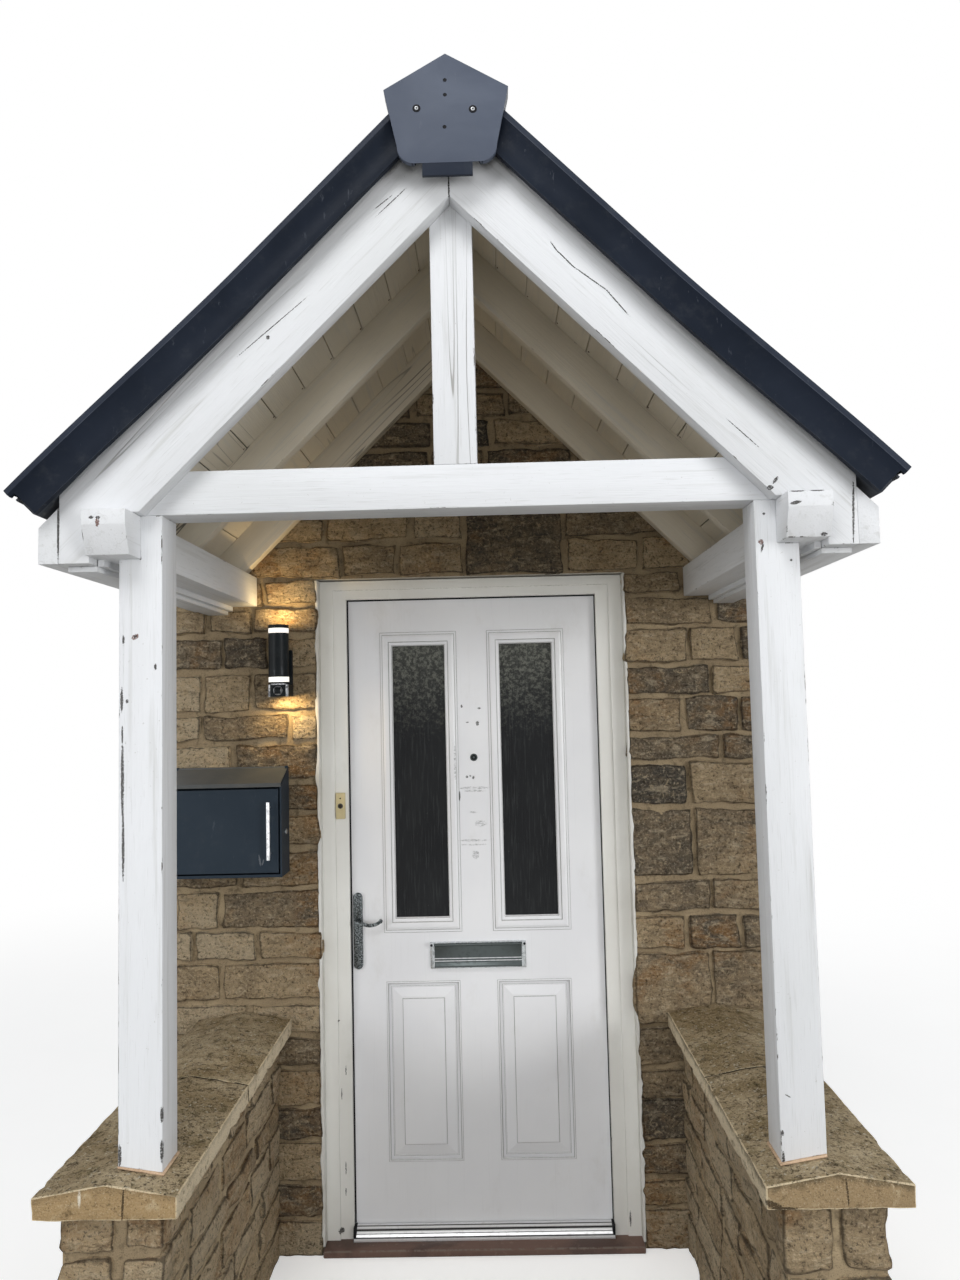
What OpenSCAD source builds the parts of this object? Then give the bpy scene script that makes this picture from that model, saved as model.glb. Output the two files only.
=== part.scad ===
// Gabled entrance porch: two coped stone dwarf walls carry a painted timber
// frame and a slated roof, built against a strip of house wall that holds the
// front door. X runs across the doorway, Y runs into the house, Z is up.
// The origin lies on the ground, on the doorway's centreline, in the plane of
// the stone face. The porch is on the -Y side.

/* [Timber frame] */
// Width and depth of a square post
post_w = 95; // [80:1:110]
// From the centreline to the middle of a post
post_center = 695; // [660:1:730]
// From the stone face to the front of the posts
post_front = 1030; // [900:5:1050]
// Height of the wall plates' underside above the ground
plate_z = 2040; // [2000:5:2200]
// Width of a wall plate
plate_w = 95; // [80:1:100]
// Height of a wall plate
plate_h = 95; // [80:1:110]
// How far a wall plate's nose stands in front of the posts
nose_out = 88; // [70:1:120]
// Height of the upright face at a nose's end
nose_face = 33; // [20:1:60]
// How far a nose is cut back along its underside
nose_cut = 24; // [10:1:40]
// Height of the tie beam
beam_h = 97; // [80:1:120]
// Width of the king post
king_w = 95; // [70:1:110]

/* [Rafters] */
// Pitch of the roof in degrees
pitch = 45; // [42:1:48]
// Thickness of a rafter
rafter_t = 45; // [38:1:50]
// Depth of the middle and rear rafters
rafter_d = 95; // [85:1:110]
// How far the front rafters hang below the others, square to the slope
front_drop = 37; // [25:1:45]
// How far in from a plate's inner face the front rafter's level seat starts
front_seat_in = 12; // [5:1:20]
// Thickness of the roof boards
board_t = 18; // [12:1:25]
// From the centreline to the inner face of the fascia
fascia_in = 855; // [830:1:880]
// Thickness of the fascia
fascia_t = 45; // [30:1:50]
// Height of the eaves underside above the ground
eaves_z = 2026; // [2010:1:2035]
// Thickness of the soffit board
soffit_t = 12; // [9:1:18]

/* [Roof covering] */
// Battens and slates together, square to the boards, at a course's top
cover_t = 42; // [30:1:55]
// Thickness that shows at the tail of a slate
slate_tail = 8; // [5:1:12]
// Length of slate that shows in a course
slate_gauge = 248; // [200:1:320]
// From the ridge line down the slope to the eaves edge
slope_len = 1278; // [1260:1:1340]
// How far the slates stand in front of the front rafters
cover_out = 25; // [15:1:30]
// How far the slates stop short of the ridge line
ridge_gap = 45; // [35:1:60]

/* [Ridge] */
// Half the width of the ridge tile
ridge_half = 126; // [120:1:128]
// Slope of each side of the ridge tile in degrees
ridge_pitch = 30; // [27:1:33]
// Thickness of the ridge tile
ridge_t = 14; // [10:1:16]
// Half the width of the end cap at its shoulders
cap_half = 134; // [132:1:150]
// Height of the end cap below its shoulders
cap_skirt = 165; // [150:1:175]
// Radius of the end cap's lower corners
cap_round = 37; // [20:1:45]
// Half the width of the end cap where its lower corners start
cap_low = 107; // [100:1:120]
// Depth of the end cap from front to back
cap_deep = 44; // [30:1:50]
// Wall of the end cap
cap_wall = 3; // [2:0.5:4]
// Half the width of the block below the cap
block_half = 54; // [40:1:65]
// Height of the block that shows below the cap
block_h = 27; // [15:1:35]

/* [Dry verge] */
// How far the verge strip stands above the tails of the slates
verge_over = 5; // [4:1:15]
// How much shorter the verge strip's main band is than its upper band
verge_trim = 12; // [5:1:25]
// How far the verge strip hangs below the top of the roof boards
verge_down = 27; // [20:1:35]
// Height of the verge strip's raised upper band
verge_band = 21; // [15:1:28]
// Thickness of the verge strip
verge_t = 3; // [2:0.5:4]
// How far the verge strip stands in front of the front rafters
verge_out = 45; // [42:1:55]
// Width of the flange that laps over the slates
verge_lap = 70; // [50:1:90]
// Depth of the hollow in the verge strip's main band
verge_hollow = 7; // [3:1:10]
// From the centreline to the upper end of the verge strip, under the end cap
verge_start = 90; // [88:1:95]

/* [Dwarf walls] */
// Thickness of a dwarf wall
dwarf_t = 225; // [200:5:250]
// From the centreline to the middle of a dwarf wall
dwarf_center = 744; // [720:1:770]
// Height of a dwarf wall under its coping
dwarf_h = 678; // [600:1:750]
// How far the coping stands in front of the posts
coping_out = 70; // [50:1:100]
// Width of the coping
coping_w = 300; // [270:1:320]
// Height of the coping at its edges
coping_edge = 47; // [35:1:60]
// Extra height of the coping at its ridge
coping_rise = 25; // [15:1:35]
// How far the coping oversails the front of the wall
coping_lip = 30; // [15:1:45]
// From the stone face to the joint between the two coping stones
coping_joint = 530; // [350:5:600]
// Mortar bed below a post
post_bed = 5; // [3:1:10]

/* [House wall] */
// Half the width of the strip of house wall
wall_half = 970; // [965:5:1000]
// Thickness of the house wall
wall_t = 300; // [250:5:350]
// Half the width of the doorway through the stone
doorway_half = 500; // [480:1:520]
// Height of the doorway above the ground
doorway_h = 2121; // [2100:1:2130]

/* [Door frame] */
// From the stone face back to the frame's outer face
frame_back = 40; // [20:1:60]
// Depth of the frame from front to back
frame_deep = 70; // [65:1:80]
// Half the clear width between the frame's lips
clear_half = 412; // [380:1:425]
// Height of the clear opening's head above the ground
clear_top = 2060; // [2050:1:2070]
// Depth of the frame's lip in front of the leaf
lip_deep = 25; // [20:1:30]
// How far the pocket behind the lip is wider than the opening
pocket = 15; // [14:1:20]
// Width of the frame's outer band
frame_band = 46; // [35:1:55]
// How far the inner band lies behind the outer band
frame_step = 7; // [4:1:10]
// Height of the painted step
step_h = 22; // [15:1:30]
// How far the step stands in front of the stone face
step_out = 20; // [10:1:40]
// Height of the threshold's front lip above the ground
sill_top = 60; // [55:1:64]
// Height of the threshold behind the lip
sill_back = 45; // [40:1:48]

/* [Door leaf] */
// Thickness of the leaf
leaf_t = 44; // [40:1:48]
// Running gap between the leaf and the frame, side to side
leaf_gap = 6.5; // [6:0.5:8]
// Running gap above, below and in front of the leaf
leaf_clear = 5; // [5:0.5:6]
// From the centreline to the inner edge of a glass
glass_in = 91; // [80:1:110]
// From the centreline to the outer edge of a glass
glass_out = 264; // [240:1:280]
// Height of the lower edge of the glass
glass_low = 1017; // [1000:1:1060]
// Height of the upper edge of the glass
glass_high = 1904; // [1700:1:1920]
// Thickness of the sealed glass unit
glass_t = 24; // [20:1:28]
// Depth of glass held behind the moulding
glass_held = 5; // [3:1:8]
// Width of the moulding beside the glass
mould_w = 37; // [30:1:45]
// How far the moulding stands out of the leaf
mould_out = 10; // [6:1:12]
// From the centreline to the inner edge of a lower panel
panel_in = 62; // [50:1:80]
// From the centreline to the outer edge of a lower panel
panel_out = 298; // [280:1:310]
// Height of the lower edge of the lower panels
panel_low = 249; // [200:1:300]
// Height of the upper edge of the lower panels
panel_high = 811; // [700:1:820]
// Width of the sloping margin of a lower panel
panel_margin = 46; // [35:1:55]
// Depth of the sunk margin at its outer edge
panel_sink = 7; // [4:1:10]
// Farthest the door swings inward in degrees
door_swing = 90; // [60:5:90]

/* [Door furniture] */
// Width of the letter plate
letter_w = 310; // [290:1:330]
// Height of the letter plate
letter_h = 84; // [70:1:90]
// Height of the middle of the letter plate above the ground
letter_z = 895; // [870:1:910]
// Width of the slot through the leaf
slot_w = 250; // [220:1:260]
// Height of the slot through the leaf
slot_h = 38; // [30:1:42]
// Thickness of the letter plate's rim
letter_t = 6; // [4:1:7]
// Thickness of the letter flap
flap_t = 3; // [2:0.5:4]
// Radius of the flap's hinge barrel
flap_barrel = 4.5; // [4:0.5:5]
// Radius of the flap's hinge pins
flap_pin = 2; // [1.5:0.5:2.5]
// Side clearance of the flap between its lugs
flap_clear = 2; // [1:0.5:3]
// From the centreline to the lever handle's spindle
handle_x = 389; // [388:1:390]
// Height of the lever handle's spindle above the ground
handle_z = 1008; // [950:1:1050]
// Length of the handle's backplate
plate_long = 244; // [200:1:260]
// Width of the handle's backplate
plate_wide = 30; // [26:1:32]
// Thickness of the handle's backplate
plate_thick = 8; // [6:1:8]
// Radius of the lever's neck
neck_r = 7.5; // [6:0.5:9]
// Running clearance around a neck or pin
pin_clear = 0.3; // [0.2:0.1:0.5]
// How far the lever stands out of the backplate
lever_out = 36; // [30:1:45]
// Radius of the round bar of the lever
lever_bar = 5; // [4:0.5:6]
// Height of the spy hole above the ground
spy_z = 1531; // [1450:1:1600]
// Radius of the spy hole's rim
spy_r = 12; // [8:1:15]
// Radius of the hinge barrels
hinge_r = 6.5; // [5:0.5:6.5]
// Length of a hinge barrel
hinge_len = 90; // [60:5:120]
// Radius of the hinge pins
hinge_pin = 3; // [2:0.5:3.5]
// From the leaf's upper or lower edge to the middle of the nearest hinge
hinge_inset = 180; // [120:5:300]
// Width of a hinge's plate on the frame, from its pin
frame_flap_w = 38; // [25:1:45]
// Width of a hinge's plate on the leaf, from its pin
leaf_flap_w = 46; // [30:1:60]

/* [Wall fittings] */
// From the centreline to the middle of the wall lamp
lamp_x = 612; // [595:1:625]
// Height of the lamp's lower end above the ground
lamp_z = 1744; // [1700:1:1800]
// Height of the whole lamp
lamp_h = 228; // [200:1:260]
// Radius of the lamp's barrel
lamp_r = 32; // [25:1:36]
// Height of the sensor housing below the barrel
sensor_h = 42; // [30:1:50]
// Width of the sensor housing
sensor_w = 65; // [50:1:70]
// From the stone face to the middle of the lamp's barrel
lamp_out = 62; // [55:1:75]
// Height of the bell push above the ground
bell_z = 1343; // [1250:1:1450]
// From the centreline to the letter box's nearer side
box_x = 597; // [590:1:610]
// Width of the letter box
box_w = 360; // [300:5:370]
// Depth of the letter box
box_d = 110; // [90:1:130]
// Height of the letter box's underside above the ground
box_z = 1186; // [1150:1:1250]
// Height of the letter box at its front
box_front = 284; // [230:1:300]
// Extra height of the letter box at the wall
box_rise = 47; // [40:1:70]
// Sheet thickness of the letter box
box_t = 3; // [2:0.5:4]
// Running gap around the letter box's lid and door
box_gap = 5; // [5:0.5:6]
// Height of the flange below the letter box's door
box_foot = 9; // [6:1:15]
// Width of the ears that hold the lid's pin
box_ear = 8; // [6:0.5:12]
// Radius of the pins of the lid and the door
box_pin = 2; // [1.5:0.5:2.5]
// From the letter box's nearer side to its grab bar
bar_in = 37; // [25:1:60]
// How far the grab bar stands out of the letter box's door
bar_out = 22; // [18:1:30]
// Length of the grab bar
bar_len = 176; // [120:2:190]
// From the lower edge of the letter box's door to the grab bar
bar_low = 42; // [25:1:60]
// Radius of the grab bar
bar_r = 6; // [4:0.5:8]

/* [Hidden] */
$fn = 48;
eps = 1;
seat = 0.3;
hair = 0.05;
tan_p = tan(pitch);
sin_p = sin(pitch);
cos_p = cos(pitch);
post_back = post_front - post_w;
post_in = post_center - post_w / 2;
post_out = post_center + post_w / 2;
plate_in = post_center;
plate_out = plate_in + plate_w;
plate_top = plate_z + plate_h;
nose_end = post_front + nose_out;
front_face = post_front + rafter_t;
// Heights of sloping planes are given where each would meet the centreline.
front_low = plate_top + (plate_in - front_seat_in) * tan_p;
rafter_low = front_low + front_drop / cos_p;
board_low = rafter_low + rafter_d / cos_p;
board_top = board_low + board_t / cos_p;
cover_top = board_top + (cover_t + slate_tail) / cos_p;
fascia_out = fascia_in + fascia_t;
mid_front = (post_front + rafter_t) / 2;
cover_front = front_face + cover_out;
verge_up = cover_t + slate_tail + verge_over;
verge_face = front_face + verge_out;
courses = floor((slope_len - ridge_gap / cos_p) / slate_gauge) + 1;
slate_top_z = cover_top - ridge_gap * tan_p;
tile_in_z = slate_top_z + ridge_gap * tan(ridge_pitch) + seat;
tile_top_z = tile_in_z + ridge_t / cos(ridge_pitch);
cap_front = verge_face + 15;
cap_top_z = tile_top_z + cap_wall + seat;
cap_shoulder_z = cap_top_z - cap_half * tan(ridge_pitch);
cap_low_z = cap_shoulder_z - cap_skirt;
coping_in = dwarf_center - coping_w / 2;
coping_far = dwarf_center + coping_w / 2;
coping_front = post_front + coping_out;
coping_top = dwarf_h + coping_edge;
dwarf_in = dwarf_center - dwarf_t / 2;
dwarf_front = coping_front - coping_lip;
wall_apex = cover_top;
frame_rear = frame_back + frame_deep;
pocket_half = clear_half + pocket;
leaf_half = pocket_half - leaf_gap;
leaf_front = frame_back + lip_deep + leaf_clear;
leaf_back = leaf_front + leaf_t;
leaf_low = sill_back + leaf_clear;
leaf_high = clear_top + pocket - leaf_clear;
hinge_x = pocket_half;
hinge_y = leaf_back + leaf_clear;
flap_y = leaf_front - letter_t - flap_barrel - flap_clear;
flap_z = letter_z + letter_h / 2 - flap_barrel - 3;
lug_w = 12;
flap_half = letter_w / 2 - lug_w - flap_clear;
box_far = box_x + box_w;
box_lid_z = box_z + box_front;
box_back_z = box_lid_z + box_rise;
lid_pin_y = 14;
lid_pin_z = box_back_z - lid_pin_y * box_rise / box_d + box_gap + box_t / 2 + 0.5;
door_pin_x = -box_far + box_t + 2 + box_gap + 4;
door_pin_low = box_z + box_foot - 5;
door_pin_high = box_z + box_front - 11.5;

// A piece drawn for the right-hand side, or mirrored to the left.
module handed(side) {
    if (side == "left") mirror([1, 0, 0]) children(); else children();
}

// A front view outline, given depth from y0 to y1.
module elevation(y0, y1) {
    translate([0, y1, 0]) rotate([90, 0, 0]) linear_extrude(y1 - y0) children();
}

// A side view outline of [y, z] points, given width from x0 to x1.
module side_view(x0, x1) {
    translate([x0, 0, 0]) rotate([90, 0, 90]) linear_extrude(x1 - x0) children();
}

// A box between two corners.
module block(a, b) {
    translate(a) cube(b - a);
}

// The band of the front view between two planes that slope down to the right.
module slope_band(low, high, x0 = 0, x1 = slope_len) {
    polygon([[x0, low - x0 * tan_p], [x0, high - x0 * tan_p],
        [x1, high - x1 * tan_p], [x1, low - x1 * tan_p]]);
}

// A point of the front view, s down the slope and n above the roof boards.
function on_slope(s, n) = [s * cos_p + n * sin_p, board_top - s * sin_p + n * cos_p];

/* Masonry */

module dwarf_wall(side) {
    color("tan") handed(side)
        block([dwarf_in, -dwarf_front, 0], [dwarf_in + dwarf_t, 0, dwarf_h]);
}

module coping(side, y0, y1) {
    color("burlywood") handed(side) elevation(y0, y1) polygon([
        [coping_in, dwarf_h], [coping_in, coping_top],
        [dwarf_center, coping_top + coping_rise],
        [coping_far, coping_top], [coping_far, dwarf_h]]);
}

// The gable outline that the house wall is cut to.
module gable_outline() {
    polygon([[-wall_half, 0], [-wall_half, wall_apex - wall_half * tan_p], [0, wall_apex],
        [wall_half, wall_apex - wall_half * tan_p], [wall_half, 0]]);
}

module house_wall(side) {
    color("tan") handed(side) elevation(0, wall_t) intersection() {
        gable_outline();
        translate([doorway_half, 0]) square([wall_half, wall_apex]);
    }
}

module house_wall_over_door() {
    color("tan") elevation(0, wall_t) intersection() {
        gable_outline();
        translate([-doorway_half, doorway_h]) square([2 * doorway_half, wall_apex]);
    }
}

/* Timber frame */

// The post stands on the coping's inner slope. Its outer half stops under the
// wall plate, and its inner half runs on up to the tie beam.
module post(side) {
    bed = coping_top + post_bed;
    fall = coping_rise / (dwarf_center - coping_in);
    color("white") handed(side) elevation(-post_front, -post_back) polygon([
        [post_in, bed + (post_in - coping_in) * fall], [post_in, plate_top],
        [plate_in, plate_top], [plate_in, plate_z], [post_out, plate_z],
        [post_out, bed + (post_out - coping_in) * fall]]);
    color("peru") handed(side) elevation(-post_front - 4, -post_back + 4) polygon([
        [post_in - 4, bed - post_bed + (post_in - 4 - coping_in) * fall],
        [post_in - 4, bed + (post_in - 4 - coping_in) * fall],
        [post_out, bed + (post_out - coping_in) * fall],
        [post_out, bed - post_bed + (post_out - coping_in) * fall]]);
}

module wall_plate(side) {
    color("white") handed(side) side_view(plate_in, plate_out) polygon([
        [0, plate_z], [0, plate_top], [-nose_end, plate_top],
        [-nose_end, plate_top - nose_face], [-nose_end + nose_cut, plate_z]]);
}

module tie_beam() {
    color("white") block([-post_out, -post_front, plate_top],
        [post_out, -post_back, plate_top + beam_h]);
}

// The king post stands on the tie beam and is pointed to fit under the boards.
module king_post() {
    half = king_w / 2;
    color("white") elevation(-post_front, -post_back) polygon([
        [-half, plate_top + beam_h], [-half, board_low - half * tan_p], [0, board_low],
        [half, board_low - half * tan_p], [half, plate_top + beam_h]]);
}

// A rafter with a mitre at the ridge, a birdsmouth over the wall plate and a
// foot that is cut level at the eaves and plumb against the fascia.
module rafter(side, y0, low, high, mitre = 0) {
    color("white") handed(side) elevation(y0, y0 + rafter_t) difference() {
        intersection() {
            slope_band(low, high);
            translate([mitre, eaves_z]) square([fascia_in - mitre, high]);
        }
        translate([-eps, eaves_z - eps])
            square([plate_out + eps, plate_top - eaves_z + eps]);
    }
}

// Two pairs behind the front one: in the middle of the porch and at the wall.
module common_rafters() {
    for (side = ["left", "right"], y0 = [-mid_front, -rafter_t])
        rafter(side, y0, rafter_low, board_low, seat);
}

module roof_boards(side) {
    color("whitesmoke") handed(side) elevation(-post_front, 0)
        slope_band(board_low, board_top, 0, fascia_out);
}

module fascias() {
    color("white") for (side = ["left", "right"]) handed(side)
        elevation(-front_face, 0) polygon([
            [fascia_in, eaves_z], [fascia_in, board_low - fascia_in * tan_p],
            [fascia_out, board_low - fascia_out * tan_p], [fascia_out, eaves_z]]);
}

// One board under the rafter feet on each side, from the front rafter back.
module soffit_boards() {
    color("whitesmoke") for (side = ["left", "right"]) handed(side)
        block([plate_out, -post_front, eaves_z - soffit_t], [fascia_in, 0, eaves_z]);
}

/* Roof covering */

// Courses of slates, each tail standing on the head of the course below.
module slates(side) {
    s0 = ridge_gap / cos_p - (cover_t + slate_tail) * tan_p;
    tails = [for (i = [0 : courses - 1]) slope_len - i * slate_gauge];
    steps = [for (s = tails) each [[s, cover_t + slate_tail],
        [max(s - slate_gauge, s0), cover_t + (s == tails[courses - 1] ? slate_tail : 0)]]];
    color("dimgray") handed(side) elevation(-cover_front, 0) intersection() {
        polygon([on_slope(slope_len, hair), for (p = steps) on_slope(p[0], p[1]),
            on_slope(s0, hair)]);
        translate([ridge_gap, 0]) square([slope_len * 2, wall_apex * 2]);
    }
}

// The dry verge: a strip with a raised band, a hollow face and a top flange.
// It is drawn as [y, n], then run down the slope.
module verge_section() {
    face = -verge_face;
    band_low = verge_up - verge_band;
    hollow_h = band_low + verge_down;
    hollow_r = (hollow_h * hollow_h / 4 + verge_hollow * verge_hollow) / (2 * verge_hollow);
    difference() {
        union() {
            translate([face, band_low]) square([verge_t + 4, verge_band]);
            translate([face + 4, -verge_down])
                square([verge_t + verge_hollow, hollow_h + eps]);
            translate([face, verge_up - verge_t]) square([verge_lap, verge_t]);
            translate([face + 4, -verge_down]) square([16, verge_t]);
        }
        translate([face + 4 + verge_hollow - hollow_r, (band_low - verge_down) / 2])
            circle(r = hollow_r, $fn = 96);
    }
}

module verge(side) {
    color("darkslategray") handed(side) difference() {
        translate([0, 0, board_top]) rotate([0, pitch, 0]) rotate([90, 0, 90])
            linear_extrude(slope_len) verge_section();
        translate([0, 0, board_top]) rotate([0, pitch, 0])
            block([slope_len - verge_trim, -verge_face - eps, -verge_down - eps],
                [slope_len + eps, 0, verge_up - verge_band]);
        block([-slope_len, -verge_face - eps, 0], [verge_start, 0, wall_apex * 2]);
    }
}

module ridge_tile() {
    drop = ridge_half * tan(ridge_pitch);
    color("dimgray") elevation(-verge_face, 0) polygon([
        [-ridge_half, tile_in_z - drop], [-ridge_half, tile_top_z - drop], [0, tile_top_z],
        [ridge_half, tile_top_z - drop], [ridge_half, tile_in_z - drop], [0, tile_in_z]]);
}

// Mortar that fills the wedge between the ridge tile and each slope of slates.
module ridge_bedding() {
    out = ridge_half - 14;
    color("gray") for (side = ["left", "right"]) handed(side)
        elevation(-verge_face + verge_lap + 5, 0) polygon([
            [ridge_gap + seat, slate_top_z + seat - seat * tan_p],
            [out, tile_in_z - out * tan(ridge_pitch) - seat],
            [out, cover_top + seat - out * tan_p]]);
}

// Pentagon with rounded lower corners, drawn in the front view.
module cap_outline() {
    union() {
        polygon([[0, cap_top_z], [cap_half, cap_shoulder_z], [cap_low, cap_low_z + cap_round],
            [cap_low - cap_round, cap_low_z], [-cap_low + cap_round, cap_low_z],
            [-cap_low, cap_low_z + cap_round], [-cap_half, cap_shoulder_z]]);
        for (x = [-cap_low + cap_round, cap_low - cap_round])
            translate([x, cap_low_z + cap_round]) circle(cap_round);
    }
}

// The hollow of the cap is the same outline, drawn in by the cap's wall.
module cap_hollow() {
    ratio = (cap_half - cap_wall) / cap_half;
    translate([0, cap_top_z - cap_wall]) scale([ratio, ratio])
        translate([0, -cap_top_z]) cap_outline();
}

module ridge_end_cap() {
    back = -cap_front + cap_deep;
    color("darkslategray") {
        difference() {
            elevation(-cap_front, back) cap_outline();
            elevation(-cap_front + cap_wall, back + eps) cap_hollow();
            block([-cap_low + cap_round, -cap_front + cap_wall, cap_low_z - eps],
                [cap_low - cap_round, back + eps, cap_low_z + 2 * cap_wall]);
            for (side = ["left", "right"]) handed(side)
                elevation(-verge_face - eps, back + eps)
                    slope_band(board_top - (verge_down + seat) / cos_p,
                        board_top + (verge_up + seat) / cos_p, block_half);
        }
        block([-block_half, -cap_front + 1, cap_low_z - block_h],
            [block_half, -front_face, cap_low_z + cap_wall]);
    }
}

/* Door set */

// A leg and head outline between an inner and an outer doorway size.
module surround(inner_half, inner_top, outer_half, outer_top, bottom) {
    difference() {
        translate([-outer_half, bottom]) square([2 * outer_half, outer_top - bottom]);
        translate([-inner_half, bottom - eps])
            square([2 * inner_half, inner_top - bottom + eps]);
    }
}

// Two jambs and a head with a stepped face, a lip and a pocket for the leaf.
module door_frame() {
    band_half = doorway_half - frame_band;
    lip_back = frame_back + lip_deep;
    color("white") difference() {
        elevation(frame_back, frame_rear)
            surround(clear_half, clear_top, doorway_half, doorway_h, step_h);
        elevation(frame_back - eps, frame_back + frame_step) translate([-band_half, 0])
            square([2 * band_half, clear_top + (doorway_h - clear_top) / 2]);
        elevation(lip_back, frame_rear + eps) translate([-pocket_half, 0])
            square([2 * pocket_half, clear_top + pocket]);
    }
}

// Heights of the lower ends of the three hinges.
hinge_z = [for (z = [leaf_low + hinge_inset, (leaf_low + leaf_high) / 2,
    leaf_high - hinge_inset]) z - hinge_len / 2];

// The frame's half of each hinge: two knuckles on a pin, and a plate.
module door_hinges() {
    third = hinge_len / 3;
    color("silver") for (z = hinge_z) translate([0, 0, z]) {
        for (low = [0, 2 * third + seat]) translate([hinge_x, hinge_y, low])
            cylinder(h = third - seat, r = hinge_r);
        translate([hinge_x, hinge_y, 0]) cylinder(h = hinge_len, r = hinge_pin);
        for (low = [0, 2 * third + seat]) block([hinge_x + 1, frame_rear, low],
            [hinge_x + frame_flap_w, frame_rear + 4, low + third - seat]);
        block([hinge_x + hinge_r + 3, frame_rear, 0],
            [hinge_x + frame_flap_w, frame_rear + 4, hinge_len]);
    }
}

// The leaf's half of each hinge: the middle knuckle, bored for the pin, and a plate.
module leaf_hinges() {
    third = hinge_len / 3;
    color("silver") for (z = hinge_z) translate([0, 0, z]) difference() {
        union() {
            translate([hinge_x, hinge_y, third]) cylinder(h = third, r = hinge_r);
            block([hinge_x - leaf_flap_w, leaf_back, 0],
                [leaf_half - 1, leaf_back + 4, hinge_len]);
            block([leaf_half - 2, leaf_back, third], [hinge_x - 2, leaf_back + 4, 2 * third]);
        }
        translate([hinge_x, hinge_y, -eps])
            cylinder(h = hinge_len + 2 * eps, r = hinge_pin + pin_clear);
    }
}

module threshold() {
    y0 = frame_back - 12;
    lip_back = frame_back + lip_deep;
    color("silver") side_view(-clear_half, clear_half) polygon([
        [y0, step_h], [y0, step_h + 12], [y0 + 8, step_h + 20], [lip_back - 8, sill_top],
        [lip_back, sill_top], [lip_back, sill_back], [frame_rear, sill_back],
        [frame_rear, step_h]]);
}

module door_step() {
    color("sienna") block([-doorway_half, -step_out, 0], [doorway_half, wall_t, step_h]);
}

// A plate in the front view plane, from y0 forward by rise, whose four edges
// slope inward by bevel. It is the part that two tapering bars share.
module bevelled(x0, x1, z0, z1, y0, rise, bevel) {
    intersection() {
        side_view(x0, x1) polygon([[y0, z0], [y0, z1], [y0 - rise, z1 - bevel],
            [y0 - rise, z0 + bevel]]);
        translate([0, 0, z0]) linear_extrude(z1 - z0) polygon([[x0, y0], [x1, y0],
            [x1 - bevel, y0 - rise], [x0 + bevel, y0 - rise]]);
    }
}

// The raised moulding around one glass, on the outer or the inner face.
module glass_moulding() {
    difference() {
        bevelled(glass_in - mould_w, glass_out + mould_w, glass_low - mould_w - 8,
            glass_high + mould_w + 5, leaf_front + eps, mould_out + eps, 9);
        block([glass_in, leaf_front - mould_out - eps, glass_low],
            [glass_out, leaf_front + 2 * eps, glass_high]);
        mirror([0, 1, 0]) translate([0, -2 * leaf_front + mould_out, 0])
            bevelled(glass_in - 12, glass_out + 12, glass_low - 12, glass_high + 12,
                leaf_front + eps, mould_out - 2, 12);
    }
}

// A sunk margin that slopes up to a raised field.
module panel_recess() {
    x1 = panel_out;
    difference() {
        block([panel_in, leaf_front - eps, panel_low],
            [x1, leaf_front + panel_sink, panel_high]);
        bevelled(panel_in + 6, x1 - 6, panel_low + 6, panel_high - 6,
            leaf_front + panel_sink + eps, panel_sink + eps, panel_margin - 6);
    }
}

module door_leaf() {
    color("gainsboro") difference() {
        union() {
            block([-leaf_half, leaf_front, leaf_low], [leaf_half, leaf_back, leaf_high]);
            for (side = ["left", "right"]) handed(side) glass_moulding();
        }
        for (side = ["left", "right"]) handed(side) {
            block([glass_in - glass_held, leaf_front + 10, glass_low - glass_held],
                [glass_out + glass_held, leaf_front + 10 + glass_t, glass_high + glass_held]);
            block([glass_in, leaf_front - eps, glass_low],
                [glass_out, leaf_back + eps, glass_high]);
            panel_recess();
        }
        block([-slot_w / 2, leaf_front - eps, letter_z - slot_h / 2],
            [slot_w / 2, leaf_back + eps, letter_z + slot_h / 2]);
        translate([-handle_x, leaf_front - eps, handle_z]) rotate([-90, 0, 0])
            cylinder(h = leaf_t + 2 * eps, r = neck_r + 2);
        translate([0, leaf_front - eps, spy_z]) rotate([-90, 0, 0])
            cylinder(h = leaf_t + 2 * eps, r = spy_r - 3);
    }
}

module door_glass() {
    color("darkslategray") for (side = ["left", "right"]) handed(side)
        block([glass_in - glass_held, leaf_front + 10, glass_low - glass_held],
            [glass_out + glass_held, leaf_front + 10 + glass_t, glass_high + glass_held]);
}

// A long backplate with round ends, drawn in the front view.
module backplate(y0, y1) {
    half = plate_long / 2 - plate_wide / 2;
    middle = handle_z - 30;
    elevation(y0, y1) difference() {
        union() {
            translate([-handle_x - plate_wide / 2, middle - half])
                square([plate_wide, 2 * half]);
            for (z = [middle - half, middle + half])
                translate([-handle_x, z]) circle(plate_wide / 2);
        }
        translate([-handle_x, handle_z]) circle(neck_r + pin_clear);
    }
}

module handle_plates() {
    color("slategray") {
        backplate(leaf_front - plate_thick, leaf_front);
        backplate(leaf_back, leaf_back + plate_thick);
    }
}

// A stretch of a ring about the origin, from the up direction round by turn.
module ring_part(radius, width, turn) {
    far = 2 * radius;
    intersection() {
        difference() {
            circle(r = radius + width / 2, $fn = 96);
            circle(r = radius - width / 2, $fn = 96);
        }
        polygon([[0, 0], [0, far], [far * tan(turn), far]]);
    }
}

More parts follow.
